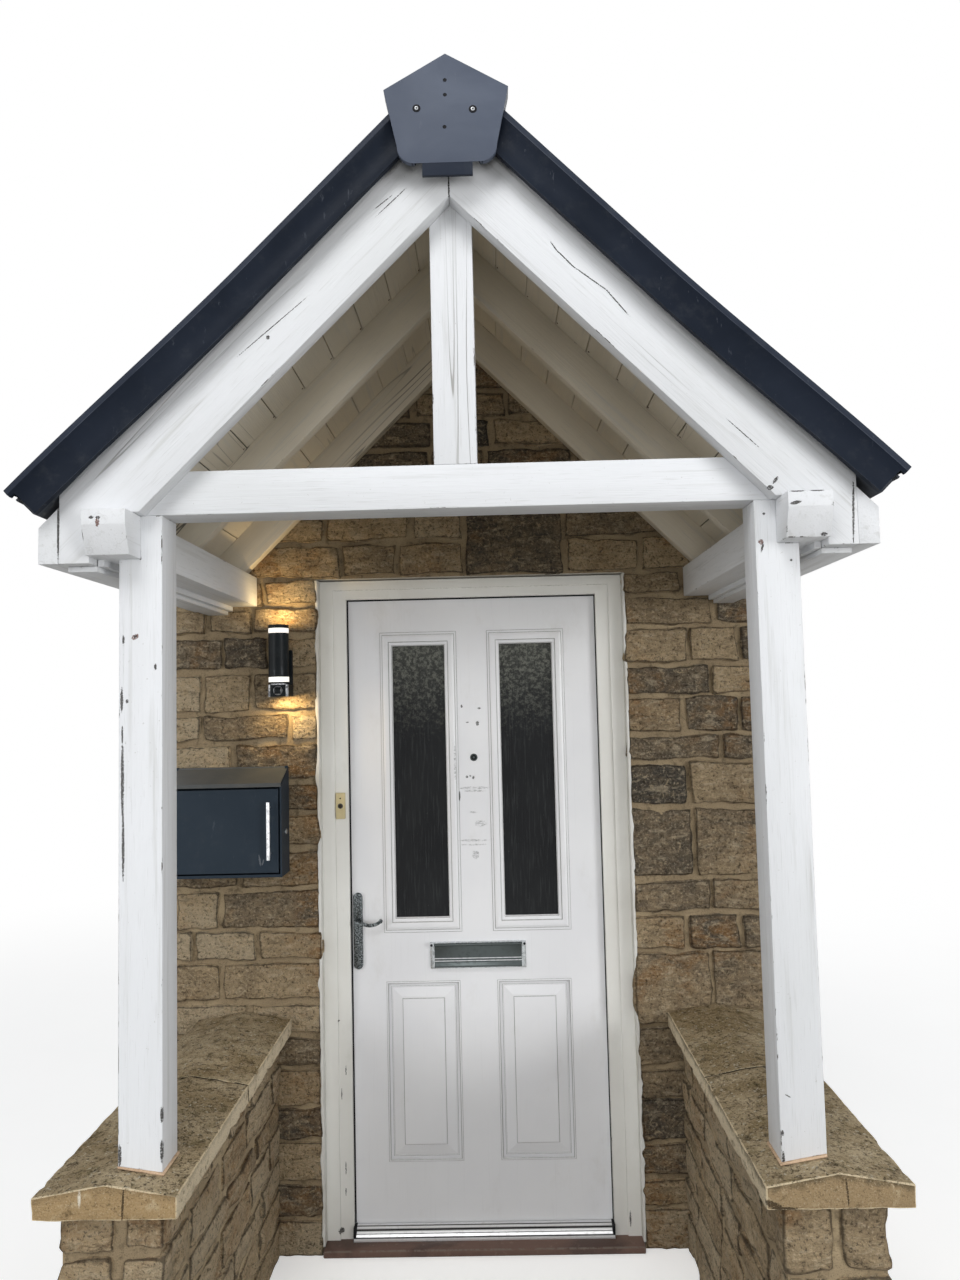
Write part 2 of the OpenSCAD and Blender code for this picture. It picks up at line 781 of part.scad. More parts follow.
// The scroll of the lever: a bar that sweeps down, then curls up at its tip.
module lever_arm(y0, y1) {
    dip = 110;
    curl = 50;
    turn = 16;
    lift = turn + 26;
    width = 2 * lever_bar;
    reach = (dip + curl) * sin(turn);
    fall = (dip + curl) * cos(turn) - dip;
    translate([-handle_x, 0, handle_z]) elevation(y0, y1) union() {
        translate([0, -dip]) ring_part(dip, width, turn + 1);
        translate([reach, fall]) rotate(180) mirror([1, 0]) {
            ring_part(curl, width, lift);
            mirror([1, 0]) ring_part(curl, width, turn);
        }
        translate([reach + curl * sin(lift), fall - curl * cos(lift)])
            circle(lever_bar + 1.5);
    }
}

module lever_handle() {
    y0 = leaf_front - plate_thick - lever_out;
    y1 = leaf_back + plate_thick + lever_out;
    color("slategray") {
        translate([-handle_x, y0, handle_z]) rotate([-90, 0, 0])
            cylinder(h = y1 - y0, r = neck_r);
        lever_arm(y0 + 1, y0 + 10);
        lever_arm(y1 - 10, y1 - 1);
    }
}

// The letter plate: an outer rim with lugs, a sleeve and an inner rim.
module letter_plate() {
    half = letter_w / 2;
    color("silver") difference() {
        union() {
            block([-half, leaf_front - letter_t, letter_z - letter_h / 2],
                [half, leaf_front, letter_z + letter_h / 2]);
            block([-slot_w / 2 + seat, leaf_front - eps, letter_z - slot_h / 2 + seat],
                [slot_w / 2 - seat, leaf_back + eps, letter_z + slot_h / 2 - seat]);
            block([-half + 5, leaf_back, letter_z - letter_h / 2 + 5],
                [half - 5, leaf_back + 4, letter_z + letter_h / 2 - 5]);
            for (x = [-half, half - lug_w])
                block([x, flap_y - flap_barrel, flap_z - flap_barrel - 2],
                    [x + lug_w, leaf_front - letter_t + eps, flap_z + flap_barrel + 3]);
        }
        block([-slot_w / 2 + 3, leaf_front - letter_t - eps, letter_z - slot_h / 2 + 3],
            [slot_w / 2 - 3, leaf_back + 5 * eps, letter_z + slot_h / 2 - 3]);
        translate([-half + 4, flap_y, flap_z]) rotate([0, 90, 0])
            cylinder(h = letter_w - 8, r = flap_pin + pin_clear);
    }
}

// The flap hangs from its top barrel, between the lugs, and lifts outward.
module letter_flap() {
    tail = letter_z - letter_h / 2 + 6;
    color("silver") {
        translate([-flap_half, flap_y, flap_z]) rotate([0, 90, 0])
            cylinder(h = 2 * flap_half, r = flap_barrel);
        translate([-letter_w / 2 + 5, flap_y, flap_z]) rotate([0, 90, 0])
            cylinder(h = letter_w - 10, r = flap_pin);
        side_view(-flap_half, flap_half) polygon([[flap_y - flap_t / 2, flap_z],
            [flap_y + flap_t / 2, flap_z], [flap_y + flap_t / 2, tail],
            [flap_y - flap_t - 4, tail], [flap_y - flap_t - 4, tail + 5],
            [flap_y - flap_t / 2, tail + 14]]);
    }
}

module spy_hole() {
    color("silver") translate([0, 0, spy_z]) rotate([-90, 0, 0]) {
        translate([0, 0, leaf_front - 3]) cylinder(h = 3, r = spy_r);
        translate([0, 0, leaf_front - eps]) cylinder(h = leaf_t + eps, r = spy_r - 3 - seat);
        translate([0, 0, leaf_back]) cylinder(h = 4, r = spy_r + 2);
    }
}

module bell_push() {
    x = -(clear_half + (doorway_half - frame_band)) / 2 - 4;
    y = frame_back + frame_step;
    color("ivory") {
        block([x - 15, y - 13, bell_z], [x + 15, y, bell_z + 84]);
        translate([x, y - 12, bell_z + 42]) rotate([90, 0, 0]) cylinder(h = 4, r = 7);
    }
}

/* Wall fittings */

// An open-ended barrel on a wall block, with a sensor housing below the barrel.
module wall_lamp() {
    barrel = lamp_h - sensor_h;
    block_y = lamp_out - 14;
    color("dimgray") translate([-lamp_x, -lamp_out, lamp_z]) {
        difference() {
            union() {
                translate([0, 0, sensor_h]) cylinder(h = barrel, r = lamp_r);
                translate([0, 0, sensor_h + barrel / 2])
                    block([-14, 0, -35], [14, block_y, 35]);
                block([-sensor_w / 2, -8, 0], [sensor_w / 2, block_y, sensor_h - 4]);
                block([-sensor_w / 2 + 8, -16, 0], [sensor_w / 2 - 8, block_y, sensor_h - 4]);
                for (x = [-sensor_w / 2 + 8, sensor_w / 2 - 8])
                    translate([x, -8, 0]) cylinder(h = sensor_h - 4, r = 8);
                translate([0, 0, sensor_h - 5]) cylinder(h = 6, r = lamp_r - 6);
            }
            translate([0, 0, lamp_h - 22]) cylinder(h = 22 + eps, r = lamp_r - 3);
        }
        translate([0, -14, sensor_h / 2 - 2]) sphere(15);
        block([-sensor_w / 2, block_y, 0], [sensor_w / 2, lamp_out, 150]);
    }
}

// Height of the letter box's sloping sides, y in front of the wall.
function box_side_z(y) = box_back_z - y * box_rise / box_d;

// Side view of the letter box: level at the bottom, falling to the front.
module box_side() {
    polygon([[0, box_z], [0, box_back_z], [-box_d, box_side_z(box_d)], [-box_d, box_z]]);
}

// A sheet shell with a front flange, ears for the lid's pin at its rear corners
// and bosses for the door's pins at its left edge.
module letter_box() {
    color("darkslategray") difference() {
        union() {
            difference() {
                side_view(-box_far, -box_x) box_side();
                side_view(-box_far + box_t, -box_x - box_t) polygon([
                    [-box_t, box_z + box_t], [-box_t, box_back_z + eps],
                    [-box_d + box_t, box_back_z + eps], [-box_d + box_t, box_z + box_t]]);
                block([-box_far + box_t + 2, -box_d - eps, box_z + box_foot],
                    [-box_x - box_t - 2, -box_d + box_t + eps, box_back_z]);
            }
            for (x = [-box_far, -box_x - box_ear]) block([x, -lid_pin_y - 5.5, box_z + box_front],
                [x + box_ear, -lid_pin_y + 5.5, lid_pin_z + 4.5]);
            for (z = [door_pin_low, door_pin_high]) block([-box_far + eps, -box_d, z],
                [door_pin_x + 4, -box_d + 10, z + 8]);
            translate([-box_x - eps, -48, box_z + 132]) rotate([0, 90, 0])
                cylinder(h = 4, r = 8);
        }
        translate([-box_far - eps, -lid_pin_y, lid_pin_z]) rotate([0, 90, 0])
            cylinder(h = box_w + 2 * eps, r = box_pin + pin_clear);
        translate([door_pin_x, -box_d + 5, box_z - eps])
            cylinder(h = box_front + 2 * eps, r = box_pin + pin_clear);
    }
}

// The lid: its rear edge is rolled around a pin, and its front turns down.
module letter_box_lid() {
    y0 = -box_d - 6;
    drop = (box_d + 6 - lid_pin_y) * box_rise / box_d;
    rear_in = box_ear + 1;
    side_y = -lid_pin_y - 12;
    side_drop = 12 * box_rise / box_d;
    z0 = lid_pin_z - box_t / 2;
    color("darkslategray") {
        side_view(-box_far, -box_x) polygon([[side_y, z0 - side_drop],
            [side_y, z0 - side_drop + box_t], [y0 - box_t, z0 - drop + box_t],
            [y0 - box_t, z0 - drop - 9], [y0, z0 - drop - 9], [y0, z0 - drop]]);
        side_view(-box_far + rear_in, -box_x - rear_in) polygon([[-lid_pin_y, z0],
            [-lid_pin_y, z0 + box_t], [side_y - eps, z0 - side_drop + box_t - eps * box_rise / box_d],
            [side_y - eps, z0 - side_drop - eps * box_rise / box_d]]);
        translate([-box_far + rear_in, -lid_pin_y, lid_pin_z]) rotate([0, 90, 0])
            cylinder(h = box_w - 2 * rear_in, r = box_pin + 1.5);
        translate([-box_far + 2, -lid_pin_y, lid_pin_z]) rotate([0, 90, 0])
            cylinder(h = box_w - 4, r = box_pin);
    }
}

// The front door of the letter box, on pins at its left edge, with a bar handle.
module letter_box_door() {
    x1 = -box_x - box_t - 2 - box_gap;
    z0 = box_z + box_foot + box_gap;
    z1 = door_pin_high - 1.5;
    bar_x = -box_x - bar_in;
    bar_y = -box_d - bar_out;
    color("darkslategray") {
        block([door_pin_x - 4, -box_d, z0], [x1, -box_d + box_t, z1]);
        translate([door_pin_x, -box_d + 5, z0]) cylinder(h = z1 - z0, r = box_pin + 2);
        translate([door_pin_x, -box_d + 5, door_pin_low + 2])
            cylinder(h = door_pin_high + 6 - door_pin_low - 2, r = box_pin);
    }
    color("silver") {
        translate([bar_x, bar_y, z0 + bar_low]) cylinder(h = bar_len, r = bar_r);
        for (z = [bar_low + 3 * bar_r, bar_low + bar_len - 3 * bar_r])
            translate([bar_x, bar_y, z0 + z]) rotate([-90, 0, 0])
                cylinder(h = bar_out + eps, r = bar_r * 2 / 3);
    }
}

dwarf_wall("left");  // dwarf_wall_left
dwarf_wall("right");  // dwarf_wall_right
coping("left", -coping_front, -coping_joint);  // coping_front_left
coping("right", -coping_front, -coping_joint);  // coping_front_right
coping("left", -coping_joint, 0);  // coping_rear_left
coping("right", -coping_joint, 0);  // coping_rear_right
post("left");  // post_left
post("right");  // post_right
wall_plate("left");  // wall_plate_left
wall_plate("right");  // wall_plate_right
tie_beam();
king_post();
rafter("left", -front_face, front_low, board_top);  // front_rafter_left
rafter("right", -front_face, front_low, board_top);  // front_rafter_right
common_rafters();
roof_boards("left");  // roof_boards_left
roof_boards("right");  // roof_boards_right
slates("left");  // slates_left
slates("right");  // slates_right
ridge_tile();
ridge_bedding();
ridge_end_cap();
verge("left");  // verge_left
verge("right");  // verge_right
fascias();
soffit_boards();
house_wall("left");  // house_wall_left
house_wall("right");  // house_wall_right
house_wall_over_door();
door_frame();
door_hinges();
threshold();
door_step();
door_leaf();
leaf_hinges();
door_glass();
handle_plates();
lever_handle();
letter_plate();
letter_flap();
spy_hole();
bell_push();
wall_lamp();
letter_box();
letter_box_lid();
letter_box_door();
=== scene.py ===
# %% [markdown]
# # Dressing an entrance porch
# The porch is a small gabled roof on two painted posts. The posts stand on low stone
# walls, and behind them are the front door and the strip of house wall that carries it.
# The solid model gives every size. This script keeps to it and adds what a solid model
# has no room for: single stones, mortar, slates, boards, wood grain, cracks and wear.

# %% Load the solid model
import bmesh
import bpy
import random
from math import cos, pi, radians, sin
from mathutils import Matrix, Vector, noise


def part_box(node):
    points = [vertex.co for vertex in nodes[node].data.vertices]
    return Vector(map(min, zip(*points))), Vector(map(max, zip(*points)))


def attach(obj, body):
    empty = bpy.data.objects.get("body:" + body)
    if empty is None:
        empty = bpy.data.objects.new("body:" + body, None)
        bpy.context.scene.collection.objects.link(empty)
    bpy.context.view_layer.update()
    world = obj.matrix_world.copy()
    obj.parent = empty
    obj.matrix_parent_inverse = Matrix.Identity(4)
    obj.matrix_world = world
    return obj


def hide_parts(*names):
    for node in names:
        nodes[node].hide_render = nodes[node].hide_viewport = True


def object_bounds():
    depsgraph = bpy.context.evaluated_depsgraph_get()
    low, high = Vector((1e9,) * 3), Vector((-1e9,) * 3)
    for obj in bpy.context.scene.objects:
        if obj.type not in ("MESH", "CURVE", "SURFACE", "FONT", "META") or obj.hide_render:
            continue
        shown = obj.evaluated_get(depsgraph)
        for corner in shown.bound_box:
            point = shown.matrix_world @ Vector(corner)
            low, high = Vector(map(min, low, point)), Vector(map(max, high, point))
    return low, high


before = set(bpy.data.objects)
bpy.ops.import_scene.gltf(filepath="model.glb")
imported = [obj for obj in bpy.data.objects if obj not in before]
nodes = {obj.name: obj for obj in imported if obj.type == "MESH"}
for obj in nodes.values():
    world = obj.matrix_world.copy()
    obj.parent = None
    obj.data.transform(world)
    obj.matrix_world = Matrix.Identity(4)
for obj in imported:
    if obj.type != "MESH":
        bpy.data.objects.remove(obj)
cad_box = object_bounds()
print("solid pieces:", len(nodes), "box:", [tuple(round(v, 3) for v in c) for c in cad_box])

# %% [markdown]
# ## Shader maths as plain expressions
# A finish is a graph of nodes. Wiring each node by hand hides the idea, so one small
# class wraps a socket and turns +, -, * into Math nodes. One method adds any other node:
# its type, its settings first, and then what its sockets get.

# %% The socket wrapper and the finish builder
class Value:
    """One output socket. Maths on it adds the Math nodes that do it."""

    def __init__(self, finish, socket):
        self.finish, self.socket = finish, socket

    def __add__(self, other):
        return self.finish.maths("ADD", self, other)

    def __radd__(self, other):
        return self.finish.maths("ADD", other, self)

    def __sub__(self, other):
        return self.finish.maths("SUBTRACT", self, other)

    def __rsub__(self, other):
        return self.finish.maths("SUBTRACT", other, self)

    def __mul__(self, other):
        return self.finish.maths("MULTIPLY", self, other)

    def __rmul__(self, other):
        return self.finish.maths("MULTIPLY", other, self)

    def size(self):
        return self.finish.maths("ABSOLUTE", self)

    def clip(self):
        return self.finish.node("Clamp", {}, {0: self})


class Finish:
    """A material that is built node by node."""

    def __init__(self, name):
        self.material = bpy.data.materials.new(name)
        self.material.use_nodes = True
        self.tree = self.material.node_tree
        self.tree.nodes.clear()
        self.place = self.node("TexCoord", {}, {}, 3)

    def node(self, kind, settings, sockets, out=0):
        made = self.tree.nodes.new("ShaderNode" + kind)
        for name, value in settings.items():
            if name == "stops":
                ramp = made.color_ramp.elements
                while len(ramp) < len(value):
                    ramp.new(0.5)
                for stop, (spot, color) in zip(ramp, value):
                    stop.position, stop.color = spot, color
            else:
                setattr(made, name, value)
        for key, value in sockets.items():
            if isinstance(value, Value):
                self.tree.links.new(value.socket, made.inputs[key])
            else:
                made.inputs[key].default_value = value
        return Value(self, made.outputs[out]) if made.outputs else None

    def maths(self, operation, *values):
        return self.node("Math", {"operation": operation}, dict(enumerate(values)))


def ink(red, green, blue):
    """A colour given in the usual 0 to 255 screen numbers, as Blender's linear one."""
    def linear(light):
        light /= 255
        return light / 12.92 if light <= 0.04045 else ((light + 0.055) / 1.055) ** 2.4
    return linear(red), linear(green), linear(blue), 1.0


print("mid grey is", [round(v, 3) for v in ink(128, 128, 128)])

# %% [markdown]
# Real surfaces vary at several sizes at once: broad stains, hand-sized mottling and fine
# grit. Each of these helpers gives one such layer. `spots` can be stretched along the
# grain of a board, `band` turns a smooth value into a mask with a soft edge, `marks` puts
# chips and stains at named places of the front view, and `relief` turns a height into
# bump in metres.

# %% Pattern helpers
def spots(finish, scale, stretch=(1, 1, 1), detail=3, rough=0.55, warp=0, place=None):
    at = finish.node("Mapping", {}, {"Vector": place or finish.place, "Scale": stretch})
    return finish.node("TexNoise", {}, {"Vector": at, "Scale": scale, "Detail": detail,
                                        "Roughness": rough, "Distortion": warp})


def band(value, start, end):
    settings = {"interpolation_type": "SMOOTHSTEP"}
    return value.finish.node("MapRange", settings, {0: value, 1: start, 2: end})


def blend(factor, under, over):
    """Lays one colour over another, as strongly as the factor says."""
    settings = {"data_type": "RGBA", "blend_type": "MIX"}
    return factor.finish.node("Mix", settings, {0: factor, 6: under, 7: over}, 2)


def coats(body, *rows):
    """Lays colours over a body, one by one. A row is a pattern, where its mask starts and
    ends, how strong the mask is, and the colour."""
    for pattern, start, end, strength, color in rows:
        body = blend(band(pattern, start, end) * strength, body, color)
    return body


def tones(value, *stops):
    return value.finish.node("ValToRGB", {"stops": stops}, {0: value})


def trait(finish, name):
    """A number that the mesh carries, such as how worn a face is."""
    return finish.node("Attribute", {"attribute_name": name}, {}, 2)


def part(vector, axis):
    """One part of a vector: 0 for x, 1 for y and 2 for z."""
    return vector.finish.node("SeparateXYZ", {}, {0: vector}, axis)


def in_view(finish):
    """1 for what the camera, metal and glass see, and 0 for all other rays."""
    seen = [finish.node("LightPath", {}, {}, out) for out in (0, 3, 6)]
    return (seen[0] + seen[1] + seen[2]).clip()


def mark(finish, x, z, wide, tall, tilt=0):
    """A patch at one place of the front view: 1 in its middle and 0 outside. tilt turns
    it clockwise, in degrees."""
    apart = finish.node("VectorMath", {"operation": "SUBTRACT"},
                        {0: finish.place, 1: (x, 0, z)})
    if tilt:
        apart = finish.node("VectorRotate", {"rotation_type": "Y_AXIS"},
                            {"Vector": apart, "Angle": radians(-tilt)})
    near = finish.node("VectorMath", {"operation": "MULTIPLY"},
                       {0: apart, 1: (2 / wide, 0, 2 / tall)})
    return band(finish.node("VectorMath", {"operation": "LENGTH"}, {0: near}, 1), 1.5, 0.3)


def marks(finish, places, front=None):
    """Adds up patches and frays their edges with noise. They lie on all faces in line
    with the place, or only on those up to a given front."""
    total = mark(finish, *places[0])
    for place in places[1:]:
        total = total + mark(finish, *place)
    fray = spots(finish, 330, detail=4, rough=0.75)
    found = band(total.clip() * ((fray - 0.5) * 6 + 1), 0.42, 0.54)
    if front is None:
        return found
    return found * band(part(finish.place, 1), front + 0.009, front + 0.004)


def relief(height, depth):
    sockets = {"Strength": 1.0, "Distance": depth, "Height": height}
    return height.finish.node("Bump", {}, sockets)


def surface(finish, color, roughness, normal=None, **fixed):
    sockets = {"Base Color": color, "Roughness": roughness}
    if normal:
        sockets["Normal"] = normal
    sockets.update({name.replace("_", " "): value for name, value in fixed.items()})
    shader = finish.node("BsdfPrincipled", {}, sockets)
    finish.node("OutputMaterial", {}, {"Surface": shader})
    return finish.material


# %% [markdown]
# ## Camera, light and floor
# The camera was solved from the photograph: it stands 3.1 m in front of the door at a
# height of 1.7 m and looks up by about 4 degrees. Light is soft and plain, as on a dull
# day: a sky all round and large lamps. The background and the far floor are white only
# for what the camera, glass and metal see, so they add no light to the stone.

# %% Camera
pitch, roll, yaw = 0.0671, -0.0232, -0.01408
level = Vector((sin(yaw), cos(yaw), 0))
ahead = level * cos(pitch) + Vector((0, 0, 1)) * sin(pitch)
above = Vector((0, 0, 1)) * cos(pitch) - level * sin(pitch)
aside = Vector((cos(yaw), -sin(yaw), 0))
right = aside * cos(roll) + above * sin(roll)
upward = above * cos(roll) - aside * sin(roll)
camera_data = bpy.data.cameras.new("camera")
camera_data.sensor_fit, camera_data.sensor_width, camera_data.lens = "HORIZONTAL", 36, 35.83
camera = bpy.data.objects.new("camera", camera_data)
bpy.context.scene.collection.objects.link(camera)
camera.matrix_world = (Matrix.Translation((0.0739, -3.0958, 1.7050))
                       @ Matrix((right, upward, -ahead)).transposed().to_4x4())
bpy.context.scene.camera = camera
bpy.context.scene.view_settings.view_transform = "Standard"
print("camera looks along", [round(v, 3) for v in ahead])

# %% [markdown]
# The world is a dull sky for the stone and plain white for the camera, by the kind of ray
# that asks. The floor is pale near the porch, so that its shadow shows, and goes white
# further out. The front lamp is hidden from shiny surfaces, or the panes would mirror it.

# %% Sky, lamps and floor
world = bpy.data.worlds.new("sky")
bpy.context.scene.world = world
world.use_nodes = True
world.node_tree.nodes.clear()


class Sky(Finish):
    """The world's nodes, built in the same way as a finish."""

    def __init__(self):
        self.tree = world.node_tree


sky = Sky()
dull_light = sky.node("Background", {}, {0: (0.95, 0.97, 1.0, 1), 1: 0.34})
backdrop = sky.node("Background", {}, {0: (1, 1, 1, 1), 1: 1.0})
both = sky.node("MixShader", {}, {0: in_view(sky), 1: dull_light, 2: backdrop})
sky.node("OutputWorld", {}, {0: both})


def lamp(name, place, target, width, watts, color=(1, 1, 1)):
    data = bpy.data.lights.new(name, "AREA")
    data.shape, data.size, data.energy, data.color = "DISK", width, watts, color
    thing = bpy.data.objects.new(name, data)
    bpy.context.scene.collection.objects.link(thing)
    thing.location = place
    thing.rotation_euler = (Vector(target) - Vector(place)).to_track_quat("-Z", "Y").to_euler()
    return thing


lamp("key_lamp", (-1.0, -5.2, 6.4), (0, -0.7, 1.3), 3.4, 162)
front_lamp = lamp("front_lamp", (0.3, -8.4, 0.9), (0, -0.2, 1.1), 3.6, 114)
front_lamp.visible_glossy = False
lamp("fill_lamp", (6.6, -6.2, 2.2), (0, -0.5, 1.2), 3.6, 310)
lamp("side_lamp", (-6.6, -6.2, 2.2), (0, -0.5, 1.2), 3.6, 150)
lamp("back_lamp", (2.0, 8.0, 5.0), (0, 0, 1.6), 5.0, 180)

pale = Finish("studio_floor")
dust = spots(pale, 3.0, detail=4)
view = in_view(pale)
away = band(pale.node("VectorMath", {"operation": "LENGTH"}, {0: pale.place}, 1), 2.0, 7.0)
grey = blend(dust, ink(140, 138, 134), ink(148, 146, 142))
bright = blend(dust, ink(232, 232, 231), ink(238, 238, 237))
floor_finish = surface(
    pale, blend(view, grey, blend(away, bright, (0, 0, 0, 1))), 0.95,
    Emission_Color=blend(view, (0, 0, 0, 1), blend(away, (0.4, 0.4, 0.4, 1), (1, 1, 1, 1))),
    Emission_Strength=1.0, Specular_IOR_Level=0.0)
ground = bmesh.new()
bmesh.ops.create_grid(ground, x_segments=1, y_segments=1, size=30)
floor_mesh = bpy.data.meshes.new("studio_floor")
ground.to_mesh(floor_mesh)
ground.free()
floor_mesh.materials.append(floor_finish)
floor = bpy.data.objects.new("studio_floor", floor_mesh)
bpy.context.scene.collection.objects.link(floor)

# %% [markdown]
# ## Helpers that make pieces
# `piece` turns a bmesh into an object, marks its sharp edges, gives it its finishes and
# ties it to its body. `solid` copies a piece of the solid model with its doubled points
# merged and its flat faces joined. `soften` rounds its edges by a small bevel, because no
# real edge is perfectly sharp, and marks the new faces, so that a finish can wear them.

# %% Piece helpers
def piece(name, bm, body, finishes, stands_for=(), sharp=32):
    """Edges turned by more than sharp degrees stay crisp, worn ones by more than 32."""
    worn = bm.faces.layers.float.get("edge")
    for edge in bm.edges:
        soft = worn and any(face[worn] > 0.5 for face in edge.link_faces)
        edge.smooth = (not edge.is_manifold or edge.calc_face_angle(0)
                       < radians(max(sharp, 32) if soft else sharp))
    for face in bm.faces:
        face.smooth = True
    mesh = bpy.data.meshes.new(name)
    bm.to_mesh(mesh)
    bm.free()
    for finish in finishes:
        mesh.materials.append(finish)
    thing = bpy.data.objects.new(name, mesh)
    bpy.context.scene.collection.objects.link(thing)
    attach(thing, body)
    if stands_for:
        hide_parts(*stands_for)
    return thing


def empty(face_traits=("edge",), point_traits=()):
    """A bmesh with nothing in it, whose faces and points can carry numbers."""
    bm = bmesh.new()
    for name in face_traits:
        bm.faces.layers.float.new(name)
    for name in point_traits:
        bm.verts.layers.float.new(name)
    return bm


def solid(name):
    data = nodes[name].data.copy()
    for extra in [layer.name for layer in data.attributes if layer.name == "custom_normal"]:
        data.attributes.remove(data.attributes[extra])
    bm = empty()
    bm.from_mesh(data)
    bpy.data.meshes.remove(data)
    bmesh.ops.remove_doubles(bm, verts=bm.verts, dist=0.00002)
    bmesh.ops.dissolve_limit(bm, angle_limit=radians(0.5), verts=bm.verts, edges=bm.edges)
    for face in bm.faces:
        face.material_index = 0
    return bm


print("the step has", len(solid("door_step").faces), "faces before its edges are rounded")

# %% [markdown]
# The next helpers shape a mesh with Blender's own operators. `slab` is a box between two
# corners, `cut` and `divide` add edges, `turned` spins a profile, and `join` puts one
# mesh into another. A solid can bend only where it has edges, so `slice_up` gives it some.

# %% Shaping helpers
def soften(bm, width, segments=2, least=20):
    worn = bm.faces.layers.float["edge"]
    edges = [edge for edge in bm.edges if edge.is_manifold and edge.calc_face_angle(0) > radians(least)]
    made = bmesh.ops.bevel(bm, geom=edges, offset=width, offset_type="OFFSET",
                           affect="EDGES", segments=segments, profile=0.5, material=-1,
                           clamp_overlap=True)
    for face in made["faces"]:
        face[worn] = 1.0
    return bm


def slab(bm, low, high):
    """A box between two corners, added to a bmesh. It returns the box's points."""
    low, high = Vector(low), Vector(high)
    made = bmesh.ops.create_cube(bm, size=1)["verts"]
    bmesh.ops.scale(bm, vec=high - low, verts=made)
    bmesh.ops.translate(bm, vec=(low + high) / 2, verts=made)
    return made


def cut(bm, point, normal, **settings):
    """Cuts all of a bmesh along a plane."""
    every = list(bm.verts) + list(bm.edges) + list(bm.faces)
    return bmesh.ops.bisect_plane(bm, geom=every, plane_co=point, plane_no=normal,
                                  **settings)


def divide(bm, axis, length, cuts):
    """Adds even cuts to a box whose length along an axis is known."""
    along = [edge for edge in bm.edges
             if abs((edge.verts[0].co - edge.verts[1].co)[axis]) > length * 0.999]
    if cuts:
        bmesh.ops.subdivide_edges(bm, edges=along, cuts=cuts, use_grid_fill=True)


def slice_up(bm, axis, steps):
    """Cuts a solid across one axis at even steps, so that its faces can bend."""
    values = [v.co[axis] for v in bm.verts]
    low, high = min(values), max(values)
    across = Vector([1.0 if i == axis else 0.0 for i in range(3)])
    for step in range(1, steps):
        cut(bm, across * (low + (high - low) * step / steps), across, dist=1e-6)


def turned(profile, segments=40):
    """A closed profile of (radius, height) points, turned about the z axis."""
    bm = empty()
    points = [bm.verts.new((radius, 0, height)) for radius, height in profile]
    edges = [bm.edges.new(pair) for pair in zip(points, points[1:])]
    bmesh.ops.spin(bm, geom=points + edges, axis=(0, 0, 1), cent=(0, 0, 0), steps=segments,
                   angle=2 * pi, use_merge=True)
    bmesh.ops.remove_doubles(bm, verts=bm.verts, dist=0.00002)
    return outward(bm)


def outward(bm):
    """Turns every face to point out of its shape."""
    bmesh.ops.recalc_face_normals(bm, faces=bm.faces)
    return bm


def move(bm, matrix):
    bmesh.ops.transform(bm, matrix=matrix, verts=bm.verts)
    return bm


def join(bm, other):
    """Adds another bmesh to this one and frees it."""
    mesh = bpy.data.meshes.new("joining")
    other.to_mesh(mesh)
    other.free()
    bm.from_mesh(mesh)
    bpy.data.meshes.remove(mesh)


def within(value, least, most):
    return min(max(value, least), most)


print("a turned disc has", len(turned(((0, 0), (1, 0), (1, 1), (0, 1))).faces), "faces")

# %% [markdown]
# ## Finishes of the masonry
# The stone is a coursed sandstone, brown to grey, split by hand, so each stone has a tone
# of its own: the mesh carries that as a number per point. Over it lie broad stains, grit,
# pale scars and dark pits, with a mottle and long tool marks that are partly painted
# highlight and painted shade. Each stone is darkened round its rim, which is painted shade
# where it meets the joint. The mortar is a flush, sandy buff one, and its finish also
# serves plaster, concrete and anything else that is made of fine grains.

# %% Stone, mortar and plaster
def stone_finish(name, warmth):
    look = Finish(name)
    tone, rim = trait(look, "tone"), trait(look, "rim")
    broad = spots(look, 5.0, detail=4, warp=0.6)
    beds = spots(look, 17.0, (1, 1, 2.0), 5, 0.65, 1.0)
    mottle = spots(look, 50, (1, 1, 1.3), 6, 0.72, 0.8)
    chisel = spots(look, 125, detail=4, rough=0.7)
    tool_marks_and_painted_light = spots(look, 44, (0.4, 0.13, 1.0), 4, 0.65, 0.4)
    grit = spots(look, 300, detail=3, rough=0.75)
    body = tones((tone + (broad - 0.5) * 0.7 + (beds - 0.5) * 0.8).clip(),
                 (0.0, ink(94, 89, 81)), (0.25, ink(134, 120, 100)), (0.5, ink(180, 158, 126)),
                 (0.78, ink(212, 187, 149)), (1.0, ink(218, 198, 165)))
    rust = band(spots(look, 3.1, detail=5, warp=1.0), 0.48, 0.66) * band(beds, 0.35, 0.6)
    body = blend(rust * warmth, body, ink(166, 122, 74))
    # The light and dark coats of mottle and tooling are partly painted highlight and painted shade. The
    # last coat darkens each stone round its rim, which is painted shade where it meets the joint.
    body = coats(body, (mottle, 0.54, 0.68, 0.65, ink(236, 212, 172)),
                 (mottle, 0.46, 0.32, 0.7, ink(54, 46, 37)),
                 (tool_marks_and_painted_light, 0.52, 0.68, 0.5, ink(232, 214, 182)),
                 (tool_marks_and_painted_light, 0.46, 0.3, 0.4, ink(72, 63, 52)),
                 (chisel, 0.55, 0.67, 0.5, ink(238, 220, 188)),
                 (chisel, 0.45, 0.35, 0.65, ink(44, 37, 29)),
                 (grit, 0.6, 0.74, 0.3, ink(222, 204, 170)),
                 (grit, 0.42, 0.3, 0.45, ink(52, 44, 36)),
                 (rim + (beds - 0.5) * 1.6, 0.45, 1.0, 0.72, ink(50, 43, 35)))
    rough = 0.97 - band(grit, 0.6, 0.8) * 0.12
    height = broad * 0.3 + beds * 0.6 + mottle * 0.9 + chisel * 0.45 + tool_marks_and_painted_light * 0.5
    return surface(look, body, rough, relief(height, 0.034), Specular_IOR_Level=0.25)


